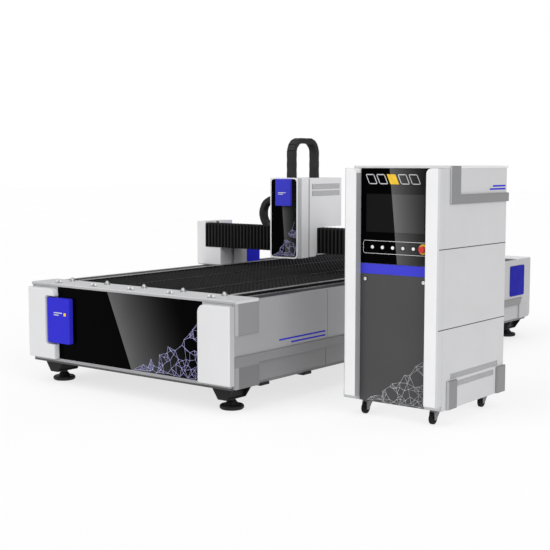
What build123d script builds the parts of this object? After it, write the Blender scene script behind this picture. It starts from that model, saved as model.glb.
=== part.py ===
from build123d import *
from math import cos, pi, sin
import os

os.makedirs("parts", exist_ok=True)

# Lengths are millimetres. +X runs across the bed, +Y along it to the rear, +Z up from the floor.
# Overall layout: the bed, the gantry that straddles it and the control cabinet beside it
bed_width = 2200.0
bed_length = 4900.0
gantry_width = 2320.0
cabinet_gap = 593.0
cabinet_width = 774.0
cabinet_depth = 995.0
cabinet_setback = 570.0
trim_proud = 15.0
overrun = 20.0
running_gap = 0.3

# Bed frame: two long box beams, cross beams and an end box at each end
frame_bottom = 186.0
frame_height = 604.0
beam_thickness = 257.0
beam_inset = 23.0
frame_front_setback = 66.0
frame_wall = 10.0
shelf_thick = 20.0
end_length = 325.0
cross_width = 120.0
cross_height = 110.0
cross_count = 5

# Levelling feet and the tapered brackets that carry them
foot_x = 927.0
foot_front = 228.0
foot_rear = 170.0
bracket_bottom = 80.0
bracket_top_width = 230.0
bracket_foot_width = 86.0
bracket_plate = 10.0
bracket_spacing = 210.0
pad_radius = 92.0
pad_height = 34.0
pad_edge = 9.0
cone_base_radius = 54.0
cone_top_radius = 34.0
cone_top = 62.0
stem_radius = 17.0

# Front end: end cap, dark panel, corner covers, sill and the blue badge block
cap_thick = 25.0
cap_proud = 10.0
cap_front_setback = 52.0
cap_drop_setback = 60.0
cap_drop_bottom = 578.0
cap_chamfer = 8.0
corner_width = 314.0
corner_depth = 56.0
corner_bottom = 215.0
corner_top = 795.0
corner_wall = 6.0
corner_round = 60.0
corner_edge = 10.0
panel_thick = 10.0
panel_side_gap = 2.0
sill_bottom = 180.0
sill_setback = 40.0
badge_left_inset = 220.0
badge_width = 265.0
badge_bottom = 350.0
badge_height = 372.0
badge_setback = 18.0
badge_round = 14.0
notch_margin = 14.0
notch_round = 26.0

# Bed sides: upper panels, dark band with its front block, lower panels, rear end, side badge
band_top = 426.0
band_bottom = 356.0
band_proud = 8.0
band_front_setback = 60.0
band_block_length = 270.0
band_rear_inset = 200.0
band_taper = 40.0
lower_bottom = 209.0
lower_thick = 8.0
side_gap = 4.0
first_joint = 1209.0
panel_lip = 12.0
rear_thick = 60.0
rear_lower_round = 50.0
rear_edge = 18.0
side_badge_rear_inset = 153.0
side_badge_length = 319.0
side_badge_bottom = 453.0
side_badge_height = 312.0
side_badge_thick = 6.0
side_badge_round = 20.0

# Table: slats on ledges, edge lips, scrap trays
slat_height = 100.0
slat_proud = 42.0
slat_thick = 4.0
slat_pitch = 50.0
slat_end_gap = 0.5
ledge_width = 40.0
ledge_height = 16.0
lip_offset = 14.0
lip_thick = 8.0
lip_proud = 50.0
table_end_gap = 20.0
tray_count = 3
tray_wall = 4.0
tray_height = 170.0
tray_side_gap = 30.0
tray_gap = 60.0

# Ball transfer units on the front cap
ball_count = 5
ball_pitch = 418.0
ball_setback = 255.0
ball_radius = 16.0
cup_radius = 24.0
cup_height = 18.0
cup_chamfer = 5.0
ball_sink = 1.0

# Lengthwise rails, racks and the dark cover strips beside them
rail_x = 925.0
rail_width = 30.0
rail_height = 30.0
rack_offset = 42.0
rack_width = 12.0
rack_height = 25.0
strip_inner_x = 957.0
strip_wall = 8.0

# Gantry: saddles, girder with posts, end covers, blue end caps, drive motors and pinions
gantry_setback = 2215.0
saddle_lift = 6.0
saddle_thick = 24.0
saddle_front = 30.0
saddle_rear = 555.0
block_width = 60.0
block_length = 120.0
block_skirt = 20.0
block_front_share = 0.10
block_rear_share = 0.55
girder_depth = 285.0
girder_height = 155.0
post_height = 160.0
post_clear = 15.0
girder_end_inset = 20.0
tray_floor = 10.0
tray_lip = 20.0
tray_lip_thick = 3.0
chain_lane_setback = 75.0
chain_lane_margin = 10.0
cover_foot_width = 310.0
cover_width = 120.0
cover_bottom_lift = 11.0
cover_shoulder_drop = 7.0
cover_top_lift = 85.0
cover_front_gap = 49.0
cover_front_length = 162.0
cover_slit = 42.0
cover_rear_length = 196.0
cover_wall = 5.0
cover_edge = 20.0
cover_clear = 3.0
blue_cap_length = 214.0
blue_cap_drop = 50.0
blue_cap_round = 14.0
motor_width = 64.0
motor_height = 230.0
motor_cap_height = 40.0
motor_setback = 475.0
pinion_radius = 16.0
pinion_length = 20.0
pinion_lift = 5.0
shaft_radius = 6.0
shaft_hole_radius = 8.0

# Crosswise rails and bellows on the girder
cross_rail_size = 25.0
cross_rail_inset = 7.5
cross_rail_end = 10.0
cross_rack_low = 65.0
cross_rack_height = 15.0
cross_rack_depth = 20.0
bellows_front_gap = 53.0
bellows_back = 70.0
bellows_top_lift = 73.0
bellows_bottom_drop = 5.0
bellows_pleat = 40.0
bellows_fold = 20.0
bellows_wall = 3.0
bellows_clear = 2.0

# Carriage: plate with bearing blocks, head cover, dark panel, blue badge, rear housing
carriage_width = 336.0
carriage_offset = 136.0
plate_gap = 47.0
plate_thick = 22.0
plate_top_lift = 75.0
bearing_length = 90.0
bearing_height = 45.0
bearing_depth = 38.0
bearing_end_share = 0.06
head_wall = 5.0
head_front_gap = 320.0
head_depth = 140.0
head_bottom_drop = 35.0
head_top_lift = 519.0
head_round = 24.0
head_top_round = 6.0
head_panel_margin = 4.0
head_panel_thick = 5.0
head_panel_round = 22.0
head_badge_left = 93.0
head_badge_width = 163.0
head_badge_height = 238.0
head_badge_top_inset = 2.0
head_badge_thick = 32.0
head_badge_round = 6.0
housing_gap = 12.0
housing_depth = 504.0
housing_wing_lap = 30.0
housing_lower_lift = 4.0
housing_edge = 10.0
vent_inset = 39.0
vent_length = 426.0
vent_height = 47.0
vent_top_drop = 53.0
vent_step = 61.0
vent_depth = 2.0
z_post_width = 152.0
z_post_thick = 16.0
z_post_bottom_lift = 150.0
z_post_top_drop = 16.0
z_gusset_thick = 12.0
x_motor_width = 80.0
x_motor_length = 76.0
x_pinion_length = 17.0
x_pinion_radius = 16.0
x_shaft_radius = 8.0
x_shaft_hole_radius = 9.0

# Cutting head on its upright slide
slide_width = 100.0
slide_thick = 20.0
slide_height = 340.0
slide_bottom_lift = 160.0
body_width = 72.0
body_depth = 74.0
body_height = 300.0
body_bottom_lift = 225.0
focus_radius = 34.0
focus_height = 120.0
tip_height = 90.0
tip_radius = 9.0
tip_base_radius = 26.0
collar_radius = 40.0
collar_height = 18.0

# Cable chains: an upright loop on the carriage and a flat one along the girder
chain_width = 80.0
chain_height = 48.0
chain_pitch = 48.0
link_fill_share = 0.84
spine_share = 0.78
loop_radius = 170.0
loop_leg = 164.0
loop_front_setback = 110.0
cross_chain_bend_x = 312.0
cross_chain_anchor_x = 0.0
cross_chain_end_in = 149.0
cross_chain_lift = 283.0
chain_rest_gap = 2.0
chain_bracket_thick = 12.0

# Control cabinet: shell, corner covers, panel, monitor, door, drawer, trim
cabinet_bottom = 114.0
cabinet_top = 1784.0
shell_wall = 4.0
shell_edge = 8.0
cover_strip_width = 104.0
cover_strip_depth = 70.0
cover_strip_bottom = 150.0
cover_strip_wall = 8.0
cover_strip_round = 40.0
cover_strip_edge = 20.0
face_thick = 10.0
face_gap = 2.0
door_bottom = 116.0
door_top = 1033.0
drawer_bottom = 1037.0
drawer_top = 1109.0
control_bottom = 1112.0
window_margin = 18.0
window_clear = 3.0
groove_low = 679.0
groove_high = 1232.0
groove_height = 4.0
groove_depth = 2.0
screen_width = 476.0
screen_height = 272.0
screen_bottom = 1333.0
screen_gap = 1.0
screen_recess = 2.0
monitor_depth = 40.0
monitor_border = 15.0
side_vent_front = 190.0
side_vent_length = 702.0
side_vent_height = 39.0
side_vent_top = 360.0
side_vent_step = 60.0
side_vent_shorten = 62.0
top_cap_thick = 16.0
top_cap_setback = 135.0
trim_front = 142.0
trim_upright_width = 138.0
trim_bottom = 1540.0
trim_bar_height = 63.0
trim_rear_past = 15.0
trim_chamfer = 10.0
guard_front = 130.0
guard_width = 141.0
guard_top = 313.0

# Buttons, stop button and door locks on the cabinet front
button_count = 5
button_pitch = 84.0
button_first = 100.0
button_z = 1228.0
button_radius = 12.0
button_length = 26.0
button_proud = 6.0
button_edge = 2.0
button_collar_radius = 15.0
button_collar_thick = 3.0
stop_x = 514.0
stop_head_radius = 24.0
stop_head_thick = 16.0
stop_stem_radius = 11.0
stop_stand = 14.0
stop_edge = 5.0
stop_length = 50.0
lock_inset = 42.0
lock_z = 999.0
lock_head_radius = 13.0
lock_head_thick = 6.0
lock_shaft_radius = 9.0
lock_cam_length = 30.0
lock_cam_width = 14.0
lock_cam_thick = 4.0
lock_cam_gap = 1.0
lock_slot_width = 4.0
lock_slot_depth = 2.0
slot_share = 0.7

# Keyboard drawer and its runners
tray_depth = 300.0
tray_inset = 42.0
drawer_wall = 5.0
drawer_side_height = 40.0
drawer_floor_lift = 8.0
runner_height = 8.0
runner_cover = 20.0

# Equipment inside the cabinet
source_width = 520.0
source_depth = 640.0
source_height = 320.0
backplate_thick = 12.0
backplate_width = 600.0
backplate_bottom = 700.0
backplate_height = 800.0
drive_count = 4
drive_width = 90.0
drive_depth = 180.0
drive_height = 300.0
drive_low = 120.0

# Castors
castor_x = 281.0
castor_front = 170.0
castor_rear_inset = 109.0
castor_plate_width = 90.0
castor_plate_thick = 5.0
kingpin_radius = 6.0
kingpin_length = 12.0
pin_clear = 0.1
castor_trail = 30.0
fork_disc_radius = 28.0
fork_disc_thick = 9.0
cheek_thick = 4.0
cheek_gap = 3.0
cheek_boss_radius = 12.0
wheel_radius = 42.0
wheel_width = 26.0
wheel_edge = 4.0
axle_radius = 5.0
hub_radius = 14.0
hub_outer_radius = 24.0
hub_recess = 3.0

# Places worked out from the sizes above
overall_width = gantry_width / 2 + bed_width / 2 + cabinet_gap + cabinet_width + trim_proud
bed_x = -overall_width / 2 + gantry_width / 2
bed_half = bed_width / 2
cabinet_x = bed_x + bed_half + cabinet_gap + cabinet_width / 2
cabinet_half = cabinet_width / 2
front_y = -bed_length / 2
rear_y = bed_length / 2
beam_outer = bed_half - beam_inset
beam_inner = beam_outer - beam_thickness
beam_top = frame_bottom + frame_height
shelf_top = beam_top + shelf_thick
cap_top = shelf_top + cap_thick
side_top = cap_top - panel_lip
frame_front_y = front_y + frame_front_setback
frame_rear_y = rear_y - rear_thick
table_front_y = front_y + end_length
table_rear_y = rear_y - end_length
slat_top = beam_top + slat_proud
slat_bottom = slat_top - slat_height
rail_top = beam_top + rail_height
saddle_bottom = rail_top + saddle_lift
saddle_top = saddle_bottom + saddle_thick
girder_bottom = saddle_top + post_height
girder_top = girder_bottom + girder_height
girder_front_y = front_y + gantry_setback
girder_rear_y = girder_front_y + girder_depth
girder_half = gantry_width / 2 - girder_end_inset
carriage_x = bed_x + carriage_offset
carriage_half = carriage_width / 2
head_bottom = girder_bottom - head_bottom_drop
head_top = girder_top + head_top_lift
head_front_y = girder_front_y - head_front_gap
head_rear_y = head_front_y + head_depth
housing_front_y = head_rear_y + housing_gap
plate_rear_y = girder_front_y - plate_gap
plate_front_y = plate_rear_y - plate_thick
cover_lower_inner = gantry_width / 2 - cover_foot_width
cover_upper_inner = gantry_width / 2 - cover_width
cabinet_front_y = front_y + cabinet_setback
shell_front_y = cabinet_front_y + cover_strip_depth
cabinet_rear_y = cabinet_front_y + cabinet_depth
face_front_y = shell_front_y - face_thick
face_half = cabinet_half - cover_strip_width - face_gap
sides = (-1, 1)


def about(centre, half):
    """The span that reaches half a width to each side of a centre."""
    return (centre - half, centre + half)


def beside(centre, side, inner, outer):
    """The span between two distances to one side of a centre line."""
    ends = sorted((centre + side * inner, centre + side * outer))
    return (ends[0], ends[1])


def block(x_span, y_span, z_span, mode=Mode.ADD):
    """A rectangular block between two places along each axis."""
    spans = (x_span, y_span, z_span)
    centre = tuple((low + high) / 2 for low, high in spans)
    size = tuple(high - low for low, high in spans)
    with Locations(centre):
        return Box(*size, mode=mode)


def upright(x, y, z_span, radius, mode=Mode.ADD):
    """A round bar along Z."""
    with Locations((x, y, (z_span[0] + z_span[1]) / 2)):
        return Cylinder(radius, z_span[1] - z_span[0], mode=mode)


def lengthwise(x, z, y_span, radius, mode=Mode.ADD):
    """A round bar along Y."""
    with Locations((x, (y_span[0] + y_span[1]) / 2, z)):
        return Cylinder(radius, y_span[1] - y_span[0], rotation=(90, 0, 0), mode=mode)


def crosswise(y, z, x_span, radius, mode=Mode.ADD):
    """A round bar along X."""
    with Locations(((x_span[0] + x_span[1]) / 2, y, z)):
        return Cylinder(radius, x_span[1] - x_span[0], rotation=(0, 90, 0), mode=mode)


def facing_front(y):
    """The plane at one place along the bed, drawn in X and Z, whose normal points to the front."""
    return Plane.XZ.offset(-y)


def framed(x_span, z_span):
    """A rectangle in X and Z between two places along each axis."""
    with Locations(((x_span[0] + x_span[1]) / 2, (z_span[0] + z_span[1]) / 2)):
        return Rectangle(x_span[1] - x_span[0], z_span[1] - z_span[0])


# Bed frame: a welded frame with a walled box at each end and plate brackets over the feet
foot_ys = (front_y + foot_front, 0, rear_y - foot_rear)
cross_first_y = table_front_y + cross_width
cross_step = (table_rear_y - table_front_y - 2 * cross_width) / (cross_count - 1)
with BuildPart() as bed_frame:
    for side in sides:
        beam_span = beside(bed_x, side, beam_inner, beam_outer)
        block(beam_span, (frame_front_y + frame_wall, frame_rear_y), (frame_bottom, beam_top))
    for number in range(cross_count):
        cross_y = cross_first_y + number * cross_step
        cross_z_span = (frame_bottom, frame_bottom + cross_height)
        block(about(bed_x, beam_inner), about(cross_y, cross_width / 2), cross_z_span)
    block(about(bed_x, beam_outer), (frame_front_y, frame_front_y + frame_wall), (frame_bottom, shelf_top))
    block(about(bed_x, beam_outer), (frame_front_y, table_front_y), (beam_top, shelf_top))
    block(about(bed_x, beam_outer), (table_rear_y, frame_rear_y), (beam_top, shelf_top))
    inner_wall_z = (slat_bottom, beam_top)
    block(about(bed_x, beam_inner), (table_front_y - frame_wall, table_front_y), inner_wall_z)
    block(about(bed_x, beam_inner), (table_rear_y, table_rear_y + frame_wall), inner_wall_z)
    block(about(bed_x, beam_inner), (frame_rear_y - frame_wall, frame_rear_y), (frame_bottom, beam_top))
    for foot_y in foot_ys:
        for end in sides:
            plate_y = foot_y + end * bracket_spacing / 2
            with BuildSketch(facing_front(plate_y - bracket_plate / 2)):
                for side in sides:
                    centre_x = bed_x + side * foot_x
                    Polygon(
                        (centre_x - bracket_foot_width / 2, bracket_bottom),
                        (centre_x + bracket_foot_width / 2, bracket_bottom),
                        (centre_x + bracket_top_width / 2, frame_bottom),
                        (centre_x - bracket_top_width / 2, frame_bottom),
                        align=None,
                    )
            extrude(amount=-bracket_plate)
        for side in sides:
            sole_x_span = about(bed_x + side * foot_x, bracket_foot_width / 2)
            sole_z_span = (bracket_bottom, bracket_bottom + bracket_plate)
            block(sole_x_span, about(foot_y, bracket_spacing / 2), sole_z_span)
bed_frame.part.label = "bed_frame"
export_step(bed_frame.part, "parts/bed_frame.step")

# Levelling feet: a rounded pad, a cone and a stem that meets the bracket
with BuildPart() as levelling_feet:
    with BuildSketch(Plane.XZ) as foot_profile:
        with BuildLine():
            Polyline(
                (0, 0),
                (pad_radius - pad_edge, 0),
                (pad_radius, pad_edge),
                (pad_radius, pad_height - pad_edge),
                (pad_radius - pad_edge, pad_height),
                (cone_base_radius, pad_height),
                (cone_top_radius, cone_top),
                (stem_radius, cone_top),
                (stem_radius, bracket_bottom),
                (0, bracket_bottom),
                close=True,
            )
        make_face()
    one_foot = revolve(foot_profile.sketch, axis=Axis.Z, mode=Mode.PRIVATE)
    foot_places = [(bed_x + side * foot_x, foot_y) for side in sides for foot_y in foot_ys]
    with Locations(*foot_places):
        add(one_foot)
levelling_feet.part.label = "levelling_feet"
export_step(levelling_feet.part, "parts/levelling_feet.step")

# Front end cap: a top plate with a lip, and a plate that drops down each side
cap_half = bed_half + cap_proud
with BuildPart() as front_end_cap:
    block(about(bed_x, cap_half), (front_y + cap_front_setback, table_front_y), (shelf_top, cap_top))
    cap_drop_y = (front_y + cap_drop_setback, table_front_y)
    for side in sides:
        block(beside(bed_x, side, bed_half, cap_half), cap_drop_y, (cap_drop_bottom, cap_top))
    cap_front_edges = front_end_cap.edges().filter_by(Axis.Z).group_by(Axis.Y)[1]
    chamfer(cap_front_edges.group_by(Axis.X)[0] + cap_front_edges.group_by(Axis.X)[-1], cap_chamfer)
front_end_cap.part.label = "front_end_cap"
export_step(front_end_cap.part, "parts/front_end_cap.step")

# Dark front panel
panel_half = beam_outer - panel_side_gap
front_panel_y = front_y + corner_depth
with BuildPart() as front_panel:
    block(about(bed_x, panel_half), (front_panel_y, front_panel_y + panel_thick), (corner_bottom, shelf_top))
front_panel.part.label = "front_panel"
export_step(front_panel.part, "parts/front_panel.step")

# Front corner covers: hollow pans, the left one notched round the badge, and the sill below
badge_left_x = bed_x - bed_half + badge_left_inset
badge_x_span = (badge_left_x, badge_left_x + badge_width)
badge_z_span = (badge_bottom, badge_bottom + badge_height)
corner_inner_x = bed_half - corner_width
with BuildPart() as front_corner_covers:
    for side in sides:
        with BuildSketch(facing_front(front_y)) as cover_outline:
            framed(beside(bed_x, side, corner_inner_x, bed_half), (corner_bottom, corner_top))
            inner_top = cover_outline.vertices().group_by(Axis.Y)[-1].sort_by(Axis.X)
            fillet(inner_top[0] if side > 0 else inner_top[-1], corner_round)
            if side < 0:
                with BuildSketch(facing_front(front_y), mode=Mode.PRIVATE) as notch_outline:
                    notch_x_span = (badge_left_x - notch_margin, bed_x)
                    framed(notch_x_span, (badge_bottom - notch_margin, sum(badge_z_span[1:]) + notch_margin))
                    fillet(notch_outline.vertices().group_by(Axis.X)[0], notch_round)
                add(notch_outline.sketch, mode=Mode.SUBTRACT)
        extrude(amount=-corner_depth)
        front_rim = front_corner_covers.faces().sort_by(Axis.Y)[0]
        fillet(front_rim.edges(), corner_edge)
        with BuildSketch(facing_front(front_y + corner_depth)):
            hollow = offset(cover_outline.sketch, -corner_wall - corner_edge, mode=Mode.PRIVATE)
            add(hollow.moved(Location((0, corner_depth, 0))))
        extrude(amount=corner_depth - corner_wall, mode=Mode.SUBTRACT)
    sill_z_span = (sill_bottom, corner_bottom - running_gap)
    block(about(bed_x, panel_half), (front_y + sill_setback, frame_front_y), sill_z_span)
front_corner_covers.part.label = "front_corner_covers"
export_step(front_corner_covers.part, "parts/front_corner_covers.step")

# Blue blocks: one on the front panel, one on the right side near the rear
with BuildPart() as bed_badges:
    block(badge_x_span, (front_y + badge_setback, front_panel_y), badge_z_span)
    fillet(bed_badges.edges().filter_by(Axis.Y), badge_round)
    side_badge_y = rear_y - side_badge_rear_inset - side_badge_length / 2
    with BuildSketch(Plane.YZ.offset(bed_x + bed_half)):
        with Locations((side_badge_y, side_badge_bottom + side_badge_height / 2)):
            RectangleRounded(side_badge_length, side_badge_height, side_badge_round)
    extrude(amount=side_badge_thick)
bed_badges.part.label = "bed_badges"
export_step(bed_badges.part, "parts/bed_badges.step")

# Side panels: upper pans above the band and thin lower panels set back below it
band_front_y = front_y + band_front_setback
band_rear_y = rear_y - band_rear_inset
joint_ys = (front_y + first_joint, 0, rear_y - first_joint)
panel_ends = (front_panel_y, *joint_ys, frame_rear_y)
with BuildPart() as side_panels:
    for side in sides:
        upper_x_span = beside(bed_x, side, beam_outer, bed_half)
        lower_x_span = beside(bed_x, side, beam_outer, beam_outer + lower_thick)
        for start_y, end_y in zip(panel_ends[:-1], panel_ends[1:]):
            lower_start_y = max(start_y, band_front_y + band_block_length)
            end_gap = side_gap if end_y < frame_rear_y else 0
            block(upper_x_span, (start_y, end_y - end_gap), (band_top, side_top))
            block(lower_x_span, (lower_start_y, end_y - end_gap), (lower_bottom, band_bottom))
        with BuildSketch(Plane.YZ.offset(bed_x + side * beam_outer)):
            Polygon(
                (band_rear_y, band_top),
                (frame_rear_y, band_top),
                (frame_rear_y, lower_bottom),
                (band_rear_y - band_taper, lower_bottom),
                (band_rear_y - band_taper, band_bottom),
                align=None,
            )
        extrude(amount=side * (bed_half - beam_outer))
    for end_span in ((front_y, table_front_y), (table_rear_y, rear_y)):
        block(about(bed_x, bed_width), end_span, (shelf_top, side_top + overrun), mode=Mode.SUBTRACT)
side_panels.part.label = "side_panels"
export_step(side_panels.part, "parts/side_panels.step")

# Side bands: a dark bar along each side, with a deep block at its front and a tapered rear end
band_half = bed_half + band_proud
with BuildPart() as side_bands:
    for side in sides:
        near_x = bed_x + side * beam_outer
        with BuildSketch(Plane.YZ.offset(near_x)):
            with BuildLine():
                Polyline(
                    (band_front_y, frame_bottom),
                    (band_front_y, band_top),
                    (band_rear_y, band_top),
                    (band_rear_y - band_taper, band_bottom),
                    (band_front_y + band_block_length, band_bottom),
                    (band_front_y + band_block_length, frame_bottom),
                    close=True,
                )
            make_face()
        extrude(amount=side * (band_half - beam_outer))
    band_fronts = side_bands.edges().filter_by(Axis.Z).group_by(Axis.Y)[0]
    chamfer(band_fronts.group_by(Axis.X)[0] + band_fronts.group_by(Axis.X)[-1], band_proud)
side_bands.part.label = "side_bands"
export_step(side_bands.part, "parts/side_bands.step")

# Rear end cover: a folded end with a rounded lower edge
with BuildPart() as rear_end_cover:
    with BuildSketch(Plane.YZ.offset(bed_x - bed_half)) as rear_outline:
        with BuildLine():
            Polyline(
                (table_rear_y, shelf_top),
                (frame_rear_y, shelf_top),
                (frame_rear_y, lower_bottom),
                (rear_y, lower_bottom),
                (rear_y, cap_top),
                (table_rear_y, cap_top),
                close=True,
            )
        make_face()
        rear_corners = rear_outline.vertices().group_by(Axis.X)[-1].sort_by(Axis.Y)
        fillet(rear_corners[0], rear_lower_round)
        fillet(rear_outline.vertices().group_by(Axis.X)[-1].sort_by(Axis.Y)[-1], rear_edge)
    extrude(amount=bed_width)
rear_end_cover.part.label = "rear_end_cover"
export_step(rear_end_cover.part, "parts/rear_end_cover.step")

# Support slats: upright blades across the table
slat_run = table_rear_y - table_front_y - 2 * table_end_gap
slat_count = int(slat_run // slat_pitch) + 1
slat_first_y = (table_front_y + table_rear_y) / 2 - (slat_count - 1) * slat_pitch / 2
slat_ys = [slat_first_y + number * slat_pitch for number in range(slat_count)]
slat_half = beam_inner - slat_end_gap
with BuildPart() as support_slats:
    for slat_y in slat_ys:
        block(about(bed_x, slat_half), about(slat_y, slat_thick / 2), (slat_bottom, slat_top))
support_slats.part.label = "support_slats"
export_step(support_slats.part, "parts/support_slats.step")

# Slat rails: a ledge on the inner face of each beam and a pale lip on top of it
rail_y_span = (table_front_y, table_rear_y)
with BuildPart() as slat_rails:
    for side in sides:
        ledge_x_span = beside(bed_x, side, beam_inner - ledge_width, beam_inner)
        block(ledge_x_span, rail_y_span, (slat_bottom - ledge_height, slat_bottom))
        lip_x_span = beside(bed_x, side, beam_inner + lip_offset, beam_inner + lip_offset + lip_thick)
        block(lip_x_span, rail_y_span, (beam_top, beam_top + lip_proud))
slat_rails.part.label = "slat_rails"
export_step(slat_rails.part, "parts/slat_rails.step")

# Scrap trays: open boxes that stand on the cross beams under the table
tray_half = beam_inner - tray_side_gap
tray_length = (table_rear_y - table_front_y - (tray_count + 1) * tray_gap) / tray_count
tray_z = frame_bottom + cross_height
with BuildPart() as scrap_trays:
    for number in range(tray_count):
        tray_start_y = table_front_y + tray_gap + number * (tray_length + tray_gap)
        tray_y_span = (tray_start_y, tray_start_y + tray_length)
        block(about(bed_x, tray_half), tray_y_span, (tray_z, tray_z + tray_height))
        inner_y_span = (tray_y_span[0] + tray_wall, tray_y_span[1] - tray_wall)
        inner_z_span = (tray_z + tray_wall, tray_z + tray_height + overrun)
        block(about(bed_x, tray_half - tray_wall), inner_y_span, inner_z_span, mode=Mode.SUBTRACT)
scrap_trays.part.label = "scrap_trays"
export_step(scrap_trays.part, "parts/scrap_trays.step")

# Guide rails with the drive racks beside them, on top of the beams
rack_inner = beam_inner + rack_offset
with BuildPart() as guide_rails:
    for side in sides:
        rail_x_span = beside(bed_x, side, rail_x - rail_width / 2, rail_x + rail_width / 2)
        block(rail_x_span, rail_y_span, (beam_top, rail_top))
        rack_x_span = beside(bed_x, side, rack_inner, rack_inner + rack_width)
        block(rack_x_span, rail_y_span, (beam_top, beam_top + rack_height))
guide_rails.part.label = "guide_rails"
export_step(guide_rails.part, "parts/guide_rails.step")

# Rail cover strips: folded dark strips between the rails and the side panels
with BuildPart() as rail_cover_strips:
    for side in sides:
        strip_x_span = beside(bed_x, side, strip_inner_x, beam_outer)
        block(strip_x_span, rail_y_span, (side_top - strip_wall, side_top))
        fold_x_span = beside(bed_x, side, strip_inner_x, strip_inner_x + strip_wall)
        block(fold_x_span, rail_y_span, (beam_top, side_top))
rail_cover_strips.part.label = "rail_cover_strips"
export_step(rail_cover_strips.part, "parts/rail_cover_strips.step")

# Ball transfer units: a cup on the front cap with a ball held loosely in it
ball_centre_z = cap_top + cup_height - ball_sink
with BuildPart() as ball_units:
    ball_xs = [bed_x + (number - (ball_count - 1) / 2) * ball_pitch for number in range(ball_count)]
    for ball_x in ball_xs:
        upright(ball_x, front_y + ball_setback, (cap_top, cap_top + cup_height), cup_radius)
    chamfer(ball_units.edges().group_by(Axis.Z)[-1], cup_chamfer)
    with Locations(*[(ball_x, front_y + ball_setback, ball_centre_z) for ball_x in ball_xs]):
        Sphere(ball_radius + running_gap, mode=Mode.SUBTRACT)
        Sphere(ball_radius)
ball_units.part.label = "ball_units"
export_step(ball_units.part, "parts/ball_units.step")

# Gantry saddles: a plate at each side on two bearing blocks that straddle the rail
saddle_y_span = (girder_front_y - saddle_front, girder_front_y + saddle_rear)
saddle_length = saddle_front + saddle_rear
saddle_inner = cover_lower_inner + cover_wall
saddle_outer = gantry_width / 2 - cover_wall
motor_x = rack_inner + rack_width + running_gap + pinion_radius
motor_y = girder_front_y + motor_setback
with BuildPart() as gantry_saddles:
    for side in sides:
        block(beside(bed_x, side, saddle_inner, saddle_outer), saddle_y_span, (saddle_bottom, saddle_top))
        for share in (block_front_share, block_rear_share):
            block_y = saddle_y_span[0] + share * saddle_length + block_length / 2
            block_x_span = beside(bed_x, side, rail_x - block_width / 2, rail_x + block_width / 2)
            block(block_x_span, about(block_y, block_length / 2), (rail_top - block_skirt, saddle_bottom))
        groove_x_span = about(bed_x + side * rail_x, rail_width / 2 + running_gap)
        groove_z_span = (rail_top - block_skirt - overrun, rail_top + running_gap)
        block(groove_x_span, saddle_y_span, groove_z_span, mode=Mode.SUBTRACT)
        hole_z_span = (saddle_bottom - overrun, saddle_top + overrun)
        upright(bed_x + side * motor_x, motor_y, hole_z_span, shaft_hole_radius, mode=Mode.SUBTRACT)
gantry_saddles.part.label = "gantry_saddles"
export_step(gantry_saddles.part, "parts/gantry_saddles.step")

# Gantry girder: a box girder on two posts, with the tray for the flat cable chain on top
post_x_span = (saddle_inner + post_clear, girder_half)
lane_y = girder_front_y + chain_lane_setback + chain_lane_margin + chain_width / 2
lane_half = chain_width / 2 + chain_lane_margin
tray_top = girder_top + tray_floor
lane_x_half = cover_upper_inner - cross_rail_end
with BuildPart() as gantry_beam:
    girder_y_span = (girder_front_y, girder_rear_y)
    block(about(bed_x, girder_half), girder_y_span, (girder_bottom, girder_top))
    for side in sides:
        block(beside(bed_x, side, *post_x_span), girder_y_span, (saddle_top, girder_bottom))
    block(about(bed_x, lane_x_half), about(lane_y, lane_half), (girder_top, tray_top))
    for edge in sides:
        lip_y_span = beside(lane_y, edge, lane_half - tray_lip_thick, lane_half)
        block(about(bed_x, lane_x_half), lip_y_span, (tray_top, tray_top + tray_lip))
gantry_beam.part.label = "gantry_beam"
export_step(gantry_beam.part, "parts/gantry_beam.step")

# Gantry end covers: stepped pans over the front and the rear of each post, with a slit between
cover_bottom = saddle_bottom + cover_bottom_lift
cover_shoulder = girder_bottom - cover_shoulder_drop
cover_top = girder_top + cover_top_lift
cover_front_y = girder_front_y - cover_front_gap
cover_slit_y = cover_front_y + cover_front_length
cover_back_y = cover_slit_y + cover_slit + cover_rear_length


def stepped_outline(side, inset, bottom):
    """The cover's outline in X and Z: wide under the bellows and narrow beside them."""
    outer = bed_x + side * (gantry_width / 2 - inset)
    upper_inner = bed_x + side * (cover_upper_inner + inset)
    lower_inner = bed_x + side * (cover_lower_inner + inset)
    return Polygon(
        (outer, bottom),
        (outer, cover_top - inset),
        (upper_inner, cover_top - inset),
        (upper_inner, cover_shoulder - inset),
        (lower_inner, cover_shoulder - inset),
        (lower_inner, bottom),
        align=None,
    )


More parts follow.
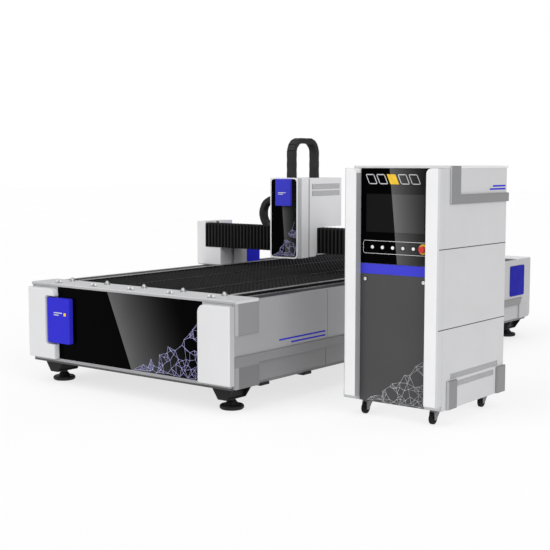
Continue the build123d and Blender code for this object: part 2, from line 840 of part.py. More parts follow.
with BuildPart() as gantry_end_covers:
    with BuildSketch(facing_front(cover_front_y)):
        for side in sides:
            stepped_outline(side, 0, cover_bottom)
    extrude(amount=-cover_front_length)
    front_edges = gantry_end_covers.edges().filter_by(Axis.Z).group_by(Axis.Y)[0].sort_by(Axis.X)
    fillet([front_edges[0], front_edges[-1]], cover_edge)
    with BuildSketch(facing_front(cover_back_y)):
        for side in sides:
            stepped_outline(side, 0, cover_bottom)
    extrude(amount=cover_rear_length)
    with BuildSketch(facing_front(cover_front_y + cover_wall)):
        for side in sides:
            stepped_outline(side, cover_wall, cover_bottom - overrun)
    extrude(amount=-(cover_back_y - cover_front_y - 2 * cover_wall), mode=Mode.SUBTRACT)
    for side in sides:
        cut_x_span = beside(bed_x, side, cover_lower_inner - overrun, cover_upper_inner + overrun)
        cut_y_span = (girder_front_y - cover_clear, girder_rear_y + cover_clear)
        cut_z_span = (girder_bottom - cover_clear, girder_top + cover_clear)
        block(cut_x_span, cut_y_span, cut_z_span, mode=Mode.SUBTRACT)
        post_cut_span = beside(bed_x, side, post_x_span[0] - cover_clear, cover_upper_inner + overrun)
        block(post_cut_span, cut_y_span, about(cover_shoulder, overrun), mode=Mode.SUBTRACT)
        sill_cut_span = beside(bed_x, side, saddle_inner, saddle_outer)
        block(sill_cut_span, about(cover_back_y, overrun), (cover_bottom - overrun, saddle_top + cover_clear),
              mode=Mode.SUBTRACT)
gantry_end_covers.part.label = "gantry_end_covers"
export_step(gantry_end_covers.part, "parts/gantry_end_covers.step")

# Blue end caps: hollow boxes over the drive motors behind the rear covers
blue_top = cover_top - blue_cap_drop
with BuildPart() as gantry_end_caps:
    for side in sides:
        cap_x_span = beside(bed_x, side, cover_lower_inner, gantry_width / 2)
        block(cap_x_span, (cover_back_y, cover_back_y + blue_cap_length), (cover_bottom, blue_top))
    rear_edges = gantry_end_caps.faces().sort_by(Axis.Y)[-2:].edges().filter_by(Axis.Z)
    fillet(rear_edges, blue_cap_round)
    for side in sides:
        void_x_span = beside(bed_x, side, saddle_inner, saddle_outer)
        void_y_span = (cover_back_y - overrun, cover_back_y + blue_cap_length - cover_wall)
        block(void_x_span, void_y_span, (cover_bottom - overrun, blue_top - cover_wall), mode=Mode.SUBTRACT)
gantry_end_caps.part.label = "gantry_end_caps"
export_step(gantry_end_caps.part, "parts/gantry_end_caps.step")

# Travel motors: one on each saddle, under the blue caps
with BuildPart() as travel_motors:
    for side in sides:
        body_x_span = about(bed_x + side * motor_x, motor_width / 2)
        block(body_x_span, about(motor_y, motor_width / 2), (saddle_top, saddle_top + motor_height))
    fillet(travel_motors.edges().filter_by(Axis.Z), motor_width / 8)
    for side in sides:
        cap_z_span = (saddle_top + motor_height, saddle_top + motor_height + motor_cap_height)
        upright(bed_x + side * motor_x, motor_y, cap_z_span, motor_width / 3)
travel_motors.part.label = "travel_motors"
export_step(travel_motors.part, "parts/travel_motors.step")

# Drive pinions: plain at the pitch line, on the motor shafts beside the racks
for side, hand in zip(sides, ("left", "right")):
    with BuildPart() as drive_pinion:
        pinion_z = beam_top + pinion_lift
        upright(bed_x + side * motor_x, motor_y, (pinion_z, pinion_z + pinion_length), pinion_radius)
        upright(bed_x + side * motor_x, motor_y, (pinion_z + pinion_length, saddle_top), shaft_radius)
    drive_pinion.part.label = f"drive_pinion_{hand}"
    export_step(drive_pinion.part, f"parts/drive_pinion_{hand}.step")

# Cross rails: two rails and a rack along the front of the girder
cross_low_z = girder_bottom + cross_rail_inset
cross_high_z = girder_top - cross_rail_inset - cross_rail_size
rack_z = girder_bottom + cross_rack_low
rack_top_z = rack_z + cross_rack_height
with BuildPart() as cross_rails:
    rail_face_span = (girder_front_y - cross_rail_size, girder_front_y)
    for rail_z in (cross_low_z, cross_high_z):
        block(about(bed_x, lane_x_half), rail_face_span, (rail_z, rail_z + cross_rail_size))
    rack_y_span = (girder_front_y - cross_rack_depth, girder_front_y)
    block(about(bed_x, lane_x_half), rack_y_span, (rack_z, rack_top_z))
cross_rails.part.label = "cross_rails"
export_step(cross_rails.part, "parts/cross_rails.step")

# Bellows: pleated covers from each end cover to the carriage, over the girder's front and top
bellows_front_y = girder_front_y - bellows_front_gap
bellows_back_y = girder_front_y + bellows_back
bellows_bottom = girder_bottom - bellows_bottom_drop
bellows_top = girder_top + bellows_top_lift


def pleats(x_span, ridge, valley):
    """Points along X that step between a ridge line and a valley line, one pleat at a time."""
    count = round((x_span[1] - x_span[0]) / bellows_pleat)
    half_pleat = (x_span[1] - x_span[0]) / count / 2
    return [(x_span[0] + step * half_pleat, valley if step % 2 else ridge) for step in range(2 * count + 1)]


def pleated_block(x_span, inset, bottom):
    """A block whose front, top and rear faces are pleated, drawn in by an inset."""
    front = pleats(x_span, bellows_front_y + inset, bellows_front_y + bellows_fold + inset)
    rear = pleats(x_span, bellows_back_y - inset, bellows_back_y - bellows_fold - inset)
    top = pleats(x_span, bellows_top - inset, bellows_top - bellows_fold - inset)
    with BuildPart(mode=Mode.PRIVATE) as body:
        with BuildSketch(Plane.XY.offset(bottom)):
            with BuildLine():
                Polyline(*front, *reversed(rear), close=True)
            make_face()
        extrude(amount=bellows_top - bottom)
        with BuildSketch(facing_front(bellows_front_y)):
            with BuildLine():
                Polyline(*top, (x_span[1], bottom), (x_span[0], bottom), close=True)
            make_face()
        extrude(amount=-(bellows_back_y - bellows_front_y), mode=Mode.INTERSECT)
    return body.part


bellows_ends = {
    "left": (bed_x - cover_upper_inner, carriage_x - carriage_half),
    "right": (carriage_x + carriage_half, bed_x + cover_upper_inner),
}
for hand, bellows_x_span in bellows_ends.items():
    outside = pleated_block(bellows_x_span, 0, bellows_bottom)
    inside = pleated_block(bellows_x_span, bellows_wall, bellows_bottom - overrun)
    with BuildPart() as bellows:
        add(outside)
        add(inside, mode=Mode.SUBTRACT)
        girder_room_y = (girder_front_y - bellows_clear, bellows_back_y + overrun)
        girder_room_z = (bellows_bottom - overrun, girder_top + bellows_clear)
        block(about(bed_x, gantry_width), girder_room_y, girder_room_z, mode=Mode.SUBTRACT)
    bellows.part.label = f"bellows_{hand}"
    export_step(bellows.part, f"parts/bellows_{hand}.step")


def chain_band(straights, bend, plane, spine_width):
    """The band inside a cable chain: two straight runs and the half ring that joins them."""
    centre, radius, angle = bend
    half = chain_height * spine_share / 2
    with BuildSketch() as half_ring:
        Circle(radius + half)
        Circle(radius - half, mode=Mode.SUBTRACT)
        with Locations((0, -radius)):
            Rectangle(4 * radius, 2 * radius, mode=Mode.SUBTRACT)
    with BuildSketch(plane) as band:
        with Locations(Location((*centre, 0), (0, 0, angle))):
            add(half_ring.sketch)
        for low, high in straights:
            framed((low[0], high[0]), (low[1], high[1]))
    return extrude(band.sketch, amount=spine_width / 2, both=True)


# Cross chain: lies in the tray, turns up at the left and runs back to the carriage
chain_low_z = tray_top + chain_rest_gap + chain_height / 2
chain_high_z = chain_low_z + cross_chain_lift
cross_bend_radius = cross_chain_lift / 2
cross_bend_x = bed_x - cross_chain_bend_x
cross_anchor_x = bed_x + cross_chain_anchor_x
cross_end_x = carriage_x - carriage_half + cross_chain_end_in
cross_low_run = cross_anchor_x - cross_bend_x
cross_high_run = cross_end_x - cross_bend_x
cross_bend_run = pi * cross_bend_radius
link_length = chain_pitch * link_fill_share
spine_half = chain_height * spine_share / 2
with BuildPart() as cross_chain:
    low_run = ((cross_bend_x, chain_low_z - spine_half), (cross_anchor_x, chain_low_z + spine_half))
    high_run = ((cross_bend_x, chain_high_z - spine_half), (cross_end_x, chain_high_z + spine_half))
    bend_centre = (cross_bend_x, (chain_low_z + chain_high_z) / 2)
    chain_band((low_run, high_run), (bend_centre, cross_bend_radius, 90), facing_front(lane_y),
               chain_width * spine_share)
    cross_chain_length = cross_low_run + cross_bend_run + cross_high_run
    link_count = int(cross_chain_length // chain_pitch)
    link_step = cross_chain_length / link_count
    for number in range(link_count):
        travel = (number + 1 / 2) * link_step
        if travel < cross_low_run:
            place = Location((cross_anchor_x - travel, lane_y, chain_low_z))
        elif travel < cross_low_run + cross_bend_run:
            turn = (travel - cross_low_run) / cross_bend_radius
            link_x = cross_bend_x - cross_bend_radius * sin(turn)
            link_z = bend_centre[1] - cross_bend_radius * cos(turn)
            place = Location((link_x, lane_y, link_z), (0, turn * 180 / pi, 0))
        else:
            past = travel - cross_low_run - cross_bend_run
            place = Location((cross_bend_x + past, lane_y, chain_high_z))
        with Locations(place):
            Box(link_length, chain_width, chain_height)
cross_chain.part.label = "cross_chain"
export_step(cross_chain.part, "parts/cross_chain.step")

# Carriage plate: bearing blocks round both cross rails behind it, the upright slide's post in front
plate_z_span = (cover_shoulder + cover_clear, girder_top + plate_top_lift)
plate_half = carriage_half - head_wall
x_motor_z = rack_top_z + running_gap + x_pinion_radius
post_bottom = girder_bottom + z_post_bottom_lift
with BuildPart() as carriage_plate:
    block(about(carriage_x, plate_half), (plate_front_y, plate_rear_y), plate_z_span)
    for rail_z in (cross_low_z, cross_high_z):
        rail_mid_z = rail_z + cross_rail_size / 2
        for side in sides:
            bearing_outer = plate_half * (1 - bearing_end_share)
            bearing_x_span = beside(carriage_x, side, bearing_outer - bearing_length, bearing_outer)
            bearing_y_span = (plate_rear_y, plate_rear_y + bearing_depth)
            block(bearing_x_span, bearing_y_span, about(rail_mid_z, bearing_height / 2))
        groove_y_span = (girder_front_y - cross_rail_size - running_gap, girder_front_y)
        groove_half = cross_rail_size / 2 + running_gap
        groove_z_span = about(rail_mid_z, groove_half)
        block(about(carriage_x, carriage_half), groove_y_span, groove_z_span, mode=Mode.SUBTRACT)
    post_z_span = (post_bottom, head_top - z_post_top_drop)
    block(about(carriage_x, z_post_width / 2), (housing_front_y - z_post_thick, housing_front_y), post_z_span)
    for side in sides:
        gusset_x_span = beside(carriage_x, side, z_post_width / 2 - z_gusset_thick, z_post_width / 2)
        block(gusset_x_span, (housing_front_y, plate_front_y), (post_bottom, plate_z_span[1]))
    hole_y_span = (plate_front_y - overrun, plate_rear_y + overrun)
    lengthwise(carriage_x, x_motor_z, hole_y_span, x_shaft_hole_radius, mode=Mode.SUBTRACT)
carriage_plate.part.label = "carriage_plate"
export_step(carriage_plate.part, "parts/carriage_plate.step")

# Carriage motor and the pinion that runs on the cross rack
motor_rear_y = plate_front_y
with BuildPart() as carriage_motor:
    motor_y_span = (motor_rear_y - x_motor_length, motor_rear_y)
    block(about(carriage_x, x_motor_width / 2), motor_y_span, about(x_motor_z, x_motor_width / 2))
    fillet(carriage_motor.edges().filter_by(Axis.Y), x_motor_width / 8)
carriage_motor.part.label = "carriage_motor"
export_step(carriage_motor.part, "parts/carriage_motor.step")

with BuildPart() as cross_pinion:
    pinion_y = girder_front_y - cross_rack_depth
    lengthwise(carriage_x, x_motor_z, (pinion_y, pinion_y + x_pinion_length), x_pinion_radius)
    lengthwise(carriage_x, x_motor_z, (motor_rear_y, pinion_y), x_shaft_radius)
cross_pinion.part.label = "cross_pinion"
export_step(cross_pinion.part, "parts/cross_pinion.step")

# Head cover: a tall shell, open below and behind, with a dark panel and a blue badge on its front
head_x_span = about(carriage_x, carriage_half)
with BuildPart() as head_cover:
    block(head_x_span, (head_front_y, head_rear_y), (head_bottom, head_top))
    fillet(head_cover.edges().filter_by(Axis.Z).group_by(Axis.Y)[0], head_round)
    fillet(head_cover.faces().sort_by(Axis.Z)[-1].edges().sort_by(Axis.Y)[:-1], head_top_round)
    with BuildSketch(Plane.XY.offset(head_bottom - overrun)):
        with Locations((carriage_x, (head_front_y + head_wall + head_rear_y + overrun) / 2)):
            Rectangle(2 * plate_half, head_rear_y + overrun - head_front_y - head_wall)
        inner_corners = vertices().group_by(Axis.Y)[0]
        fillet(inner_corners, head_round - head_wall)
    extrude(amount=head_top - head_wall - head_bottom + overrun, mode=Mode.SUBTRACT)
head_cover.part.label = "head_cover"
export_step(head_cover.part, "parts/head_cover.step")

with BuildPart() as head_panel:
    with BuildSketch(facing_front(head_front_y)):
        with Locations((carriage_x, (head_bottom + head_top) / 2)):
            panel_height = head_top - head_bottom - 2 * head_panel_margin
            RectangleRounded(carriage_width - 2 * head_round, panel_height, head_panel_round)
    extrude(amount=head_panel_thick)
head_panel.part.label = "head_panel"
export_step(head_panel.part, "parts/head_panel.step")

head_badge_top = head_top - head_panel_margin - head_badge_top_inset
head_badge_left_x = carriage_x - carriage_half + head_badge_left
panel_face_y = head_front_y - head_panel_thick
with BuildPart() as head_badge:
    badge_x_span = (head_badge_left_x, head_badge_left_x + head_badge_width)
    badge_z_span = (head_badge_top - head_badge_height, head_badge_top)
    block(badge_x_span, (panel_face_y - head_badge_thick, panel_face_y), badge_z_span)
    fillet(head_badge.edges().filter_by(Axis.Z).group_by(Axis.Y)[0], head_badge_round)
head_badge.part.label = "head_badge"
export_step(head_badge.part, "parts/head_badge.step")

# Carriage housing: a box over the girder with side wings down to the head cover's foot
housing_rear_y = housing_front_y + housing_depth
housing_bottom = plate_z_span[1]
wing_foot_z_span = (head_bottom + housing_lower_lift, plate_z_span[0])
with BuildPart() as carriage_housing:
    block(head_x_span, (housing_front_y, housing_rear_y), (housing_bottom, head_top))
    block(head_x_span, (housing_front_y, plate_front_y + housing_wing_lap), plate_z_span)
    block(head_x_span, (housing_front_y, plate_front_y), wing_foot_z_span)
    fillet(carriage_housing.edges().filter_by(Axis.Z).group_by(Axis.Y)[-1], housing_edge)
    inner_y_span = (housing_front_y - overrun, housing_rear_y - head_wall)
    inner_z_span = (head_bottom, head_top - head_wall)
    block(about(carriage_x, plate_half), inner_y_span, inner_z_span, mode=Mode.SUBTRACT)
    doorway_x_span = about(carriage_x - carriage_half, overrun)
    doorway_z_span = (housing_bottom - overrun, chain_high_z + chain_height)
    block(doorway_x_span, about(lane_y, lane_half), doorway_z_span, mode=Mode.SUBTRACT)
    bracket_x_span = (cross_end_x, cross_end_x + chain_bracket_thick)
    bracket_z_span = (chain_high_z - chain_height / 2, head_top - head_wall)
    block(bracket_x_span, about(lane_y, chain_width / 2), bracket_z_span)
    for side in sides:
        for step in range(2):
            slot_top = head_top - vent_top_drop - step * vent_step
            slot_y_span = (housing_front_y + vent_inset, housing_front_y + vent_inset + vent_length)
            slot_x_span = beside(carriage_x, side, carriage_half - vent_depth, carriage_half + overrun)
            block(slot_x_span, slot_y_span, (slot_top - vent_height, slot_top), mode=Mode.SUBTRACT)
carriage_housing.part.label = "carriage_housing"
export_step(carriage_housing.part, "parts/carriage_housing.step")

# Loop chain: an upright arch of links from the head cover back to the housing
loop_front_y = head_front_y + loop_front_setback
loop_mid_y = loop_front_y + loop_radius
loop_mid_z = head_top + loop_leg
loop_bend_run = pi * loop_radius
with BuildPart() as loop_chain:
    legs = []
    for leg_y in (loop_front_y, loop_front_y + 2 * loop_radius):
        legs.append(((leg_y - spine_half, head_top), (leg_y + spine_half, loop_mid_z)))
    chain_band(legs, ((loop_mid_y, loop_mid_z), loop_radius, 0), Plane.YZ.offset(carriage_x),
               chain_width * spine_share)
    loop_length = 2 * loop_leg + loop_bend_run
    link_count = int(loop_length // chain_pitch)
    link_step = loop_length / link_count
    for number in range(link_count):
        travel = (number + 1 / 2) * link_step
        if travel < loop_leg:
            place = Location((carriage_x, loop_front_y, head_top + travel))
        elif travel < loop_leg + loop_bend_run:
            turn = (travel - loop_leg) / loop_radius
            link_y = loop_mid_y - loop_radius * cos(turn)
            link_z = loop_mid_z + loop_radius * sin(turn)
            place = Location((carriage_x, link_y, link_z), (-turn * 180 / pi, 0, 0))
        else:
            past = travel - loop_leg - loop_bend_run
            place = Location((carriage_x, loop_front_y + 2 * loop_radius, loop_mid_z - past))
        with Locations(place):
            Box(chain_width, chain_height, link_length)
loop_chain.part.label = "loop_chain"
export_step(loop_chain.part, "parts/loop_chain.step")

# Cutting head: slide plate, body, focus barrel, collar and nozzle cone
slide_rear_y = housing_front_y - z_post_thick - running_gap
slide_front_y = slide_rear_y - slide_thick
barrel_y = slide_front_y - body_depth / 2
with BuildPart() as cutting_head:
    slide_z = head_bottom + slide_bottom_lift
    slide_z_span = (slide_z, slide_z + slide_height)
    block(about(carriage_x, slide_width / 2), (slide_front_y, slide_rear_y), slide_z_span)
    body_z = head_bottom + body_bottom_lift
    block(about(carriage_x, body_width / 2), (slide_front_y - body_depth, slide_front_y),
          (body_z, body_z + body_height))
    upright(carriage_x, barrel_y, (body_z - focus_height, body_z), focus_radius)
    collar_z = body_z - focus_height
    upright(carriage_x, barrel_y, (collar_z, collar_z + collar_height), collar_radius)
    with Locations((carriage_x, barrel_y, body_z - focus_height - tip_height / 2)):
        Cone(tip_radius, tip_base_radius, tip_height)
cutting_head.part.label = "cutting_head"
export_step(cutting_head.part, "parts/cutting_head.step")

# Cabinet shell: a hollow cabinet with windows in its front wall, side grooves and vent pockets
shell_inner = cabinet_half - shell_wall
window_half = face_half - window_margin
drawer_half = face_half - tray_inset
drawer_floor_z = drawer_bottom + drawer_floor_lift
drawer_rim_z = drawer_floor_z + drawer_side_height
front_wall_span = (shell_front_y - overrun, shell_front_y + shell_wall)
with BuildPart() as cabinet_shell:
    block(about(cabinet_x, cabinet_half), (shell_front_y, cabinet_rear_y), (cabinet_bottom, cabinet_top))
    fillet(cabinet_shell.edges().filter_by(Axis.Z).group_by(Axis.Y)[-1], shell_edge)
    block(about(cabinet_x, shell_inner), (shell_front_y + shell_wall, cabinet_rear_y - shell_wall),
          (cabinet_bottom + shell_wall, cabinet_top - shell_wall), mode=Mode.SUBTRACT)
    windows = (
        (window_half, control_bottom + window_margin, cabinet_top - window_margin),
        (drawer_half + window_clear, drawer_floor_z - window_clear, drawer_rim_z + window_clear),
        (window_half, door_bottom + 2 * window_margin, door_top - window_margin),
    )
    for half, low_z, high_z in windows:
        block(about(cabinet_x, half), front_wall_span, (low_z, high_z), mode=Mode.SUBTRACT)
    for side in sides:
        skin_x_span = beside(cabinet_x, side, cabinet_half - groove_depth, cabinet_half + overrun)
        for groove_z in (groove_low, groove_high):
            groove_z_span = (groove_z, groove_z + groove_height)
            groove_y_span = (shell_front_y, cabinet_rear_y - shell_edge)
            block(skin_x_span, groove_y_span, groove_z_span, mode=Mode.SUBTRACT)
        for step in range(2):
            slot_top = side_vent_top - step * side_vent_step
            slot_y = cabinet_front_y + side_vent_front + step * side_vent_shorten
            slot_y_span = (slot_y, slot_y + side_vent_length - 2 * step * side_vent_shorten)
            block(skin_x_span, slot_y_span, (slot_top - side_vent_height, slot_top), mode=Mode.SUBTRACT)
        runner_x_span = beside(cabinet_x, side, drawer_half - runner_cover, shell_inner)
        runner_y_span = (shell_front_y + shell_wall, shell_front_y + tray_depth)
        runner_top = drawer_floor_z - running_gap
        block(runner_x_span, runner_y_span, (runner_top - runner_height, runner_top))
cabinet_shell.part.label = "cabinet_shell"
export_step(cabinet_shell.part, "parts/cabinet_shell.step")

# Cabinet corner covers: tall white pans in front of the shell, rounded at the inner top corner
with BuildPart() as cabinet_covers:
    for side in sides:
        pan_x_span = beside(cabinet_x, side, cabinet_half - cover_strip_width, cabinet_half)
        block(pan_x_span, (cabinet_front_y, shell_front_y), (cover_strip_bottom, cabinet_top))
    pan_edges = cabinet_covers.edges().filter_by(Axis.Y).group_by(Axis.Z)[-1].sort_by(Axis.X)
    fillet(pan_edges[1:3], cover_strip_round)
    pan_uprights = cabinet_covers.edges().filter_by(Axis.Z).group_by(Axis.Y)[0].sort_by(Axis.X)
    fillet([pan_uprights[0], pan_uprights[-1]], cover_strip_edge)
    for side in sides:
        void_x_span = beside(cabinet_x, side, cabinet_half - cover_strip_width + cover_strip_wall,
                             cabinet_half - cover_strip_wall)
        void_y_span = (cabinet_front_y + cover_strip_wall, shell_front_y + overrun)
        void_z_span = (cover_strip_bottom + cover_strip_wall, cabinet_top - cover_strip_round)
        block(void_x_span, void_y_span, void_z_span, mode=Mode.SUBTRACT)
        skin_x_span = beside(cabinet_x, side, cabinet_half - groove_depth, cabinet_half + overrun)
        for groove_z in (groove_low, groove_high):
            groove_y_span = (cabinet_front_y + cover_strip_edge, shell_front_y)
            block(skin_x_span, groove_y_span, (groove_z, groove_z + groove_height), mode=Mode.SUBTRACT)
cabinet_covers.part.label = "cabinet_covers"
export_step(cabinet_covers.part, "parts/cabinet_covers.step")

# Control panel: dark plate with a screen window and holes for the buttons
face_left_x = cabinet_x - face_half
button_xs = [face_left_x + button_first + number * button_pitch for number in range(button_count)]
stop_centre_x = face_left_x + stop_x
face_y_span = (face_front_y, shell_front_y)
hole_y_span = (face_front_y - overrun, shell_front_y + overrun)
screen_top = screen_bottom + screen_height
with BuildPart() as control_panel:
    block(about(cabinet_x, face_half), face_y_span, (control_bottom, cabinet_top))
    block(about(cabinet_x, screen_width / 2), hole_y_span, (screen_bottom, screen_top), mode=Mode.SUBTRACT)
    for button_x in button_xs:
        lengthwise(button_x, button_z, hole_y_span, button_radius + pin_clear, mode=Mode.SUBTRACT)
    lengthwise(stop_centre_x, button_z, hole_y_span, stop_stem_radius + pin_clear, mode=Mode.SUBTRACT)
control_panel.part.label = "control_panel"
export_step(control_panel.part, "parts/control_panel.step")

with BuildPart() as monitor:
    glass_half = screen_width / 2 - screen_gap
    glass_z_span = (screen_bottom + screen_gap, screen_top - screen_gap)
    block(about(cabinet_x, glass_half), (face_front_y + screen_recess, shell_front_y), glass_z_span)
    body_z_span = (screen_bottom - monitor_border, screen_top + monitor_border)
    block(about(cabinet_x, screen_width / 2 + monitor_border), (shell_front_y, shell_front_y + monitor_depth),
          body_z_span)
monitor.part.label = "monitor"
export_step(monitor.part, "parts/monitor.step")

# Push buttons: each with a collar behind the panel that keeps it from falling out
for number, button_x in enumerate(button_xs, start=1):
    with BuildPart() as button:
        button_y = face_front_y - button_proud
        lengthwise(button_x, button_z, (button_y, button_y + button_length), button_radius)
        collar_y = shell_front_y + running_gap
        lengthwise(button_x, button_z, (collar_y, collar_y + button_collar_thick), button_collar_radius)
        fillet(button.faces().sort_by(Axis.Y)[0].edges(), button_edge)
    button.part.label = f"button_{number}"
    export_step(button.part, f"parts/button_{number}.step")

# Emergency stop: mushroom head on a stem through the panel
with BuildPart() as emergency_stop:
    stop_y = face_front_y - stop_stand - stop_head_thick
    lengthwise(stop_centre_x, button_z, (stop_y, stop_y + stop_head_thick), stop_head_radius)
    lengthwise(stop_centre_x, button_z, (stop_y + stop_head_thick, stop_y + stop_length), stop_stem_radius)
    fillet(emergency_stop.faces().sort_by(Axis.Y)[0].edges(), stop_edge)
    collar_y = shell_front_y + running_gap
    lengthwise(stop_centre_x, button_z, (collar_y, collar_y + button_collar_thick), button_collar_radius)
emergency_stop.part.label = "emergency_stop"
export_step(emergency_stop.part, "parts/emergency_stop.step")

# Cabinet door: a lift-off panel held by two quarter-turn locks
lock_offset = face_half - lock_inset
with BuildPart() as cabinet_door:
    block(about(cabinet_x, face_half), face_y_span, (door_bottom, door_top))
    for side in sides:
        lengthwise(cabinet_x + side * lock_offset, lock_z, hole_y_span, lock_shaft_radius + pin_clear,
                   mode=Mode.SUBTRACT)
cabinet_door.part.label = "cabinet_door"
export_step(cabinet_door.part, "parts/cabinet_door.step")

for side, hand in zip(sides, ("left", "right")):
    with BuildPart() as door_lock:
        lock_x = cabinet_x + side * lock_offset
        lock_y = face_front_y - lock_head_thick
        cam_y = shell_front_y + shell_wall + lock_cam_gap
        lengthwise(lock_x, lock_z, (lock_y, face_front_y), lock_head_radius)
        lengthwise(lock_x, lock_z, (face_front_y, cam_y + lock_cam_thick), lock_shaft_radius)
        cam_x_span = beside(lock_x, side, 0, lock_cam_length)
        block(cam_x_span, (cam_y, cam_y + lock_cam_thick), about(lock_z, lock_cam_width / 2))
        slot_half = lock_head_radius * slot_share
        slot_y_span = (lock_y, lock_y + lock_slot_depth)
        slot_z_span = about(lock_z, lock_slot_width / 2)
        block(about(lock_x, slot_half), slot_y_span, slot_z_span, mode=Mode.SUBTRACT)
    door_lock.part.label = f"door_lock_{hand}"
    export_step(door_lock.part, f"parts/door_lock_{hand}.step")

# Keyboard drawer: a blue front on an open tray
with BuildPart() as keyboard_drawer:
    drawer_face_span = (face_front_y, shell_front_y - running_gap)
    block(about(cabinet_x, face_half), drawer_face_span, (drawer_bottom, drawer_top))
    tray_y_span = (shell_front_y - running_gap, shell_front_y + tray_depth)
    block(about(cabinet_x, drawer_half), tray_y_span, (drawer_floor_z, drawer_rim_z))
    hollow_y_span = (shell_front_y, shell_front_y + tray_depth - drawer_wall)
    hollow_z_span = (drawer_floor_z + drawer_wall, drawer_rim_z + overrun)
    block(about(cabinet_x, drawer_half - drawer_wall), hollow_y_span, hollow_z_span, mode=Mode.SUBTRACT)
keyboard_drawer.part.label = "keyboard_drawer"
export_step(keyboard_drawer.part, "parts/keyboard_drawer.step")

# Dark trim: top cap, the angled side trims below it and the four guards over the castors
trim_rear_y = cabinet_rear_y + trim_rear_past
trim_top = cabinet_top + top_cap_thick
with BuildPart() as cabinet_trim:
    top_y_span = (cabinet_front_y + top_cap_setback, trim_rear_y)
    block(about(cabinet_x, cabinet_half), top_y_span, (cabinet_top, trim_top))
    for side in sides:
        trim_x_span = beside(cabinet_x, side, cabinet_half, cabinet_half + trim_proud)
        trim_y = cabinet_front_y + trim_front
        block(trim_x_span, (trim_y, trim_y + trim_upright_width), (trim_bottom, trim_top))
        block(trim_x_span, (trim_y, trim_rear_y), (trim_bottom, trim_bottom + trim_bar_height))
        front_guard_y = cabinet_front_y + guard_front
        for guard_y_span in (
            (front_guard_y, front_guard_y + guard_width),
            (trim_rear_y - guard_width, trim_rear_y),
        ):
            block(trim_x_span, guard_y_span, (cabinet_bottom, guard_top))
    outer_edges = cabinet_trim.edges().filter_by(Axis.Z).group_by(Axis.X)
    chamfer(outer_edges[0] + outer_edges[-1], trim_chamfer)
cabinet_trim.part.label = "cabinet_trim"
export_step(cabinet_trim.part, "parts/cabinet_trim.step")

# Equipment inside: the beam source on the floor, drives on a mounting plate behind
with BuildPart() as cabinet_equipment:
    source_mid_y = (shell_front_y + cabinet_rear_y) / 2
    floor_z = cabinet_bottom + shell_wall
    block(about(cabinet_x, source_width / 2), about(source_mid_y, source_depth / 2),
          (floor_z, floor_z + source_height))
    backplate_y = cabinet_rear_y - shell_wall - backplate_thick
    block(about(cabinet_x, backplate_width / 2), (backplate_y, backplate_y + backplate_thick),
          (backplate_bottom, backplate_bottom + backplate_height))
    drive_pitch = backplate_width / (drive_count + 1)
    for number in range(1, drive_count + 1):
        drive_x = cabinet_x - backplate_width / 2 + number * drive_pitch
        drive_z = backplate_bottom + drive_low
        block(about(drive_x, drive_width / 2), (backplate_y - drive_depth, backplate_y),
              (drive_z, drive_z + drive_height))
cabinet_equipment.part.label = "cabinet_equipment"
export_step(cabinet_equipment.part, "parts/cabinet_equipment.step")

# Castors: top plates with kingpins, then a fork and a wheel at each corner
castor_ys = {"front": cabinet_front_y + castor_front, "rear": cabinet_rear_y - castor_rear_inset}
castor_places = [
    (f"{end}_{hand}", cabinet_x + side * castor_x, castor_y)
    for end, castor_y in castor_ys.items()
    for side, hand in zip(sides, ("left", "right"))
]
plate_z = cabinet_bottom - castor_plate_thick
with BuildPart() as castor_plates:
    for name, pin_x, pin_y in castor_places:
        plate_reach = castor_plate_width / 2
        block(about(pin_x, plate_reach), about(pin_y, plate_reach), (plate_z, cabinet_bottom))
        upright(pin_x, pin_y, (plate_z - kingpin_length, plate_z), kingpin_radius)
castor_plates.part.label = "castor_plates"
export_step(castor_plates.part, "parts/castor_plates.step")

disc_top = plate_z - running_gap
disc_bottom = disc_top - fork_disc_thick
disc_mid = (disc_top + disc_bottom) / 2
cheek_inner = wheel_width / 2 + cheek_gap
for name, pin_x, pin_y in castor_places:
    wheel_y = pin_y - castor_trail
    with BuildPart() as castor_fork:
        upright(pin_x, pin_y, (disc_bottom, disc_top), fork_disc_radius)
        for side in sides:
            with BuildSketch(Plane.YZ.offset(pin_x + side * cheek_inner)):
                Polygon(
                    (wheel_y - cheek_boss_radius, wheel_radius),
                    (wheel_y + cheek_boss_radius, wheel_radius),
                    (pin_y + fork_disc_radius / 2, disc_mid),
                    (pin_y - fork_disc_radius / 2, disc_mid),
                    (wheel_y - cheek_boss_radius, disc_mid),
                    align=None,
                )
                with Locations((wheel_y, wheel_radius)):
                    Circle(cheek_boss_radius)
            extrude(amount=side * cheek_thick)
        crosswise(wheel_y, wheel_radius, about(pin_x, cheek_inner + cheek_thick), axle_radius)
        upright(pin_x, pin_y, (disc_bottom - overrun, disc_top + overrun), kingpin_radius + pin_clear,
                mode=Mode.SUBTRACT)
    castor_fork.part.label = f"castor_fork_{name}"
    export_step(castor_fork.part, f"parts/castor_fork_{name}.step")
    with BuildPart() as castor_wheel:
        crosswise(wheel_y, wheel_radius, about(pin_x, wheel_width / 2), wheel_radius)
        fillet(castor_wheel.edges().filter_by(GeomType.CIRCLE), wheel_edge)
        for side in sides:
            recess_x_span = beside(pin_x, side, wheel_width / 2 - hub_recess, wheel_width / 2 + overrun)
            crosswise(wheel_y, wheel_radius, recess_x_span, hub_outer_radius, mode=Mode.SUBTRACT)
        crosswise(wheel_y, wheel_radius, about(pin_x, wheel_width / 2 - hub_recess / 2), hub_radius)
        bore_radius = axle_radius + pin_clear
        crosswise(wheel_y, wheel_radius, about(pin_x, wheel_width), bore_radius, mode=Mode.SUBTRACT)
    castor_wheel.part.label = f"castor_wheel_{name}"
    export_step(castor_wheel.part, f"parts/castor_wheel_{name}.step")
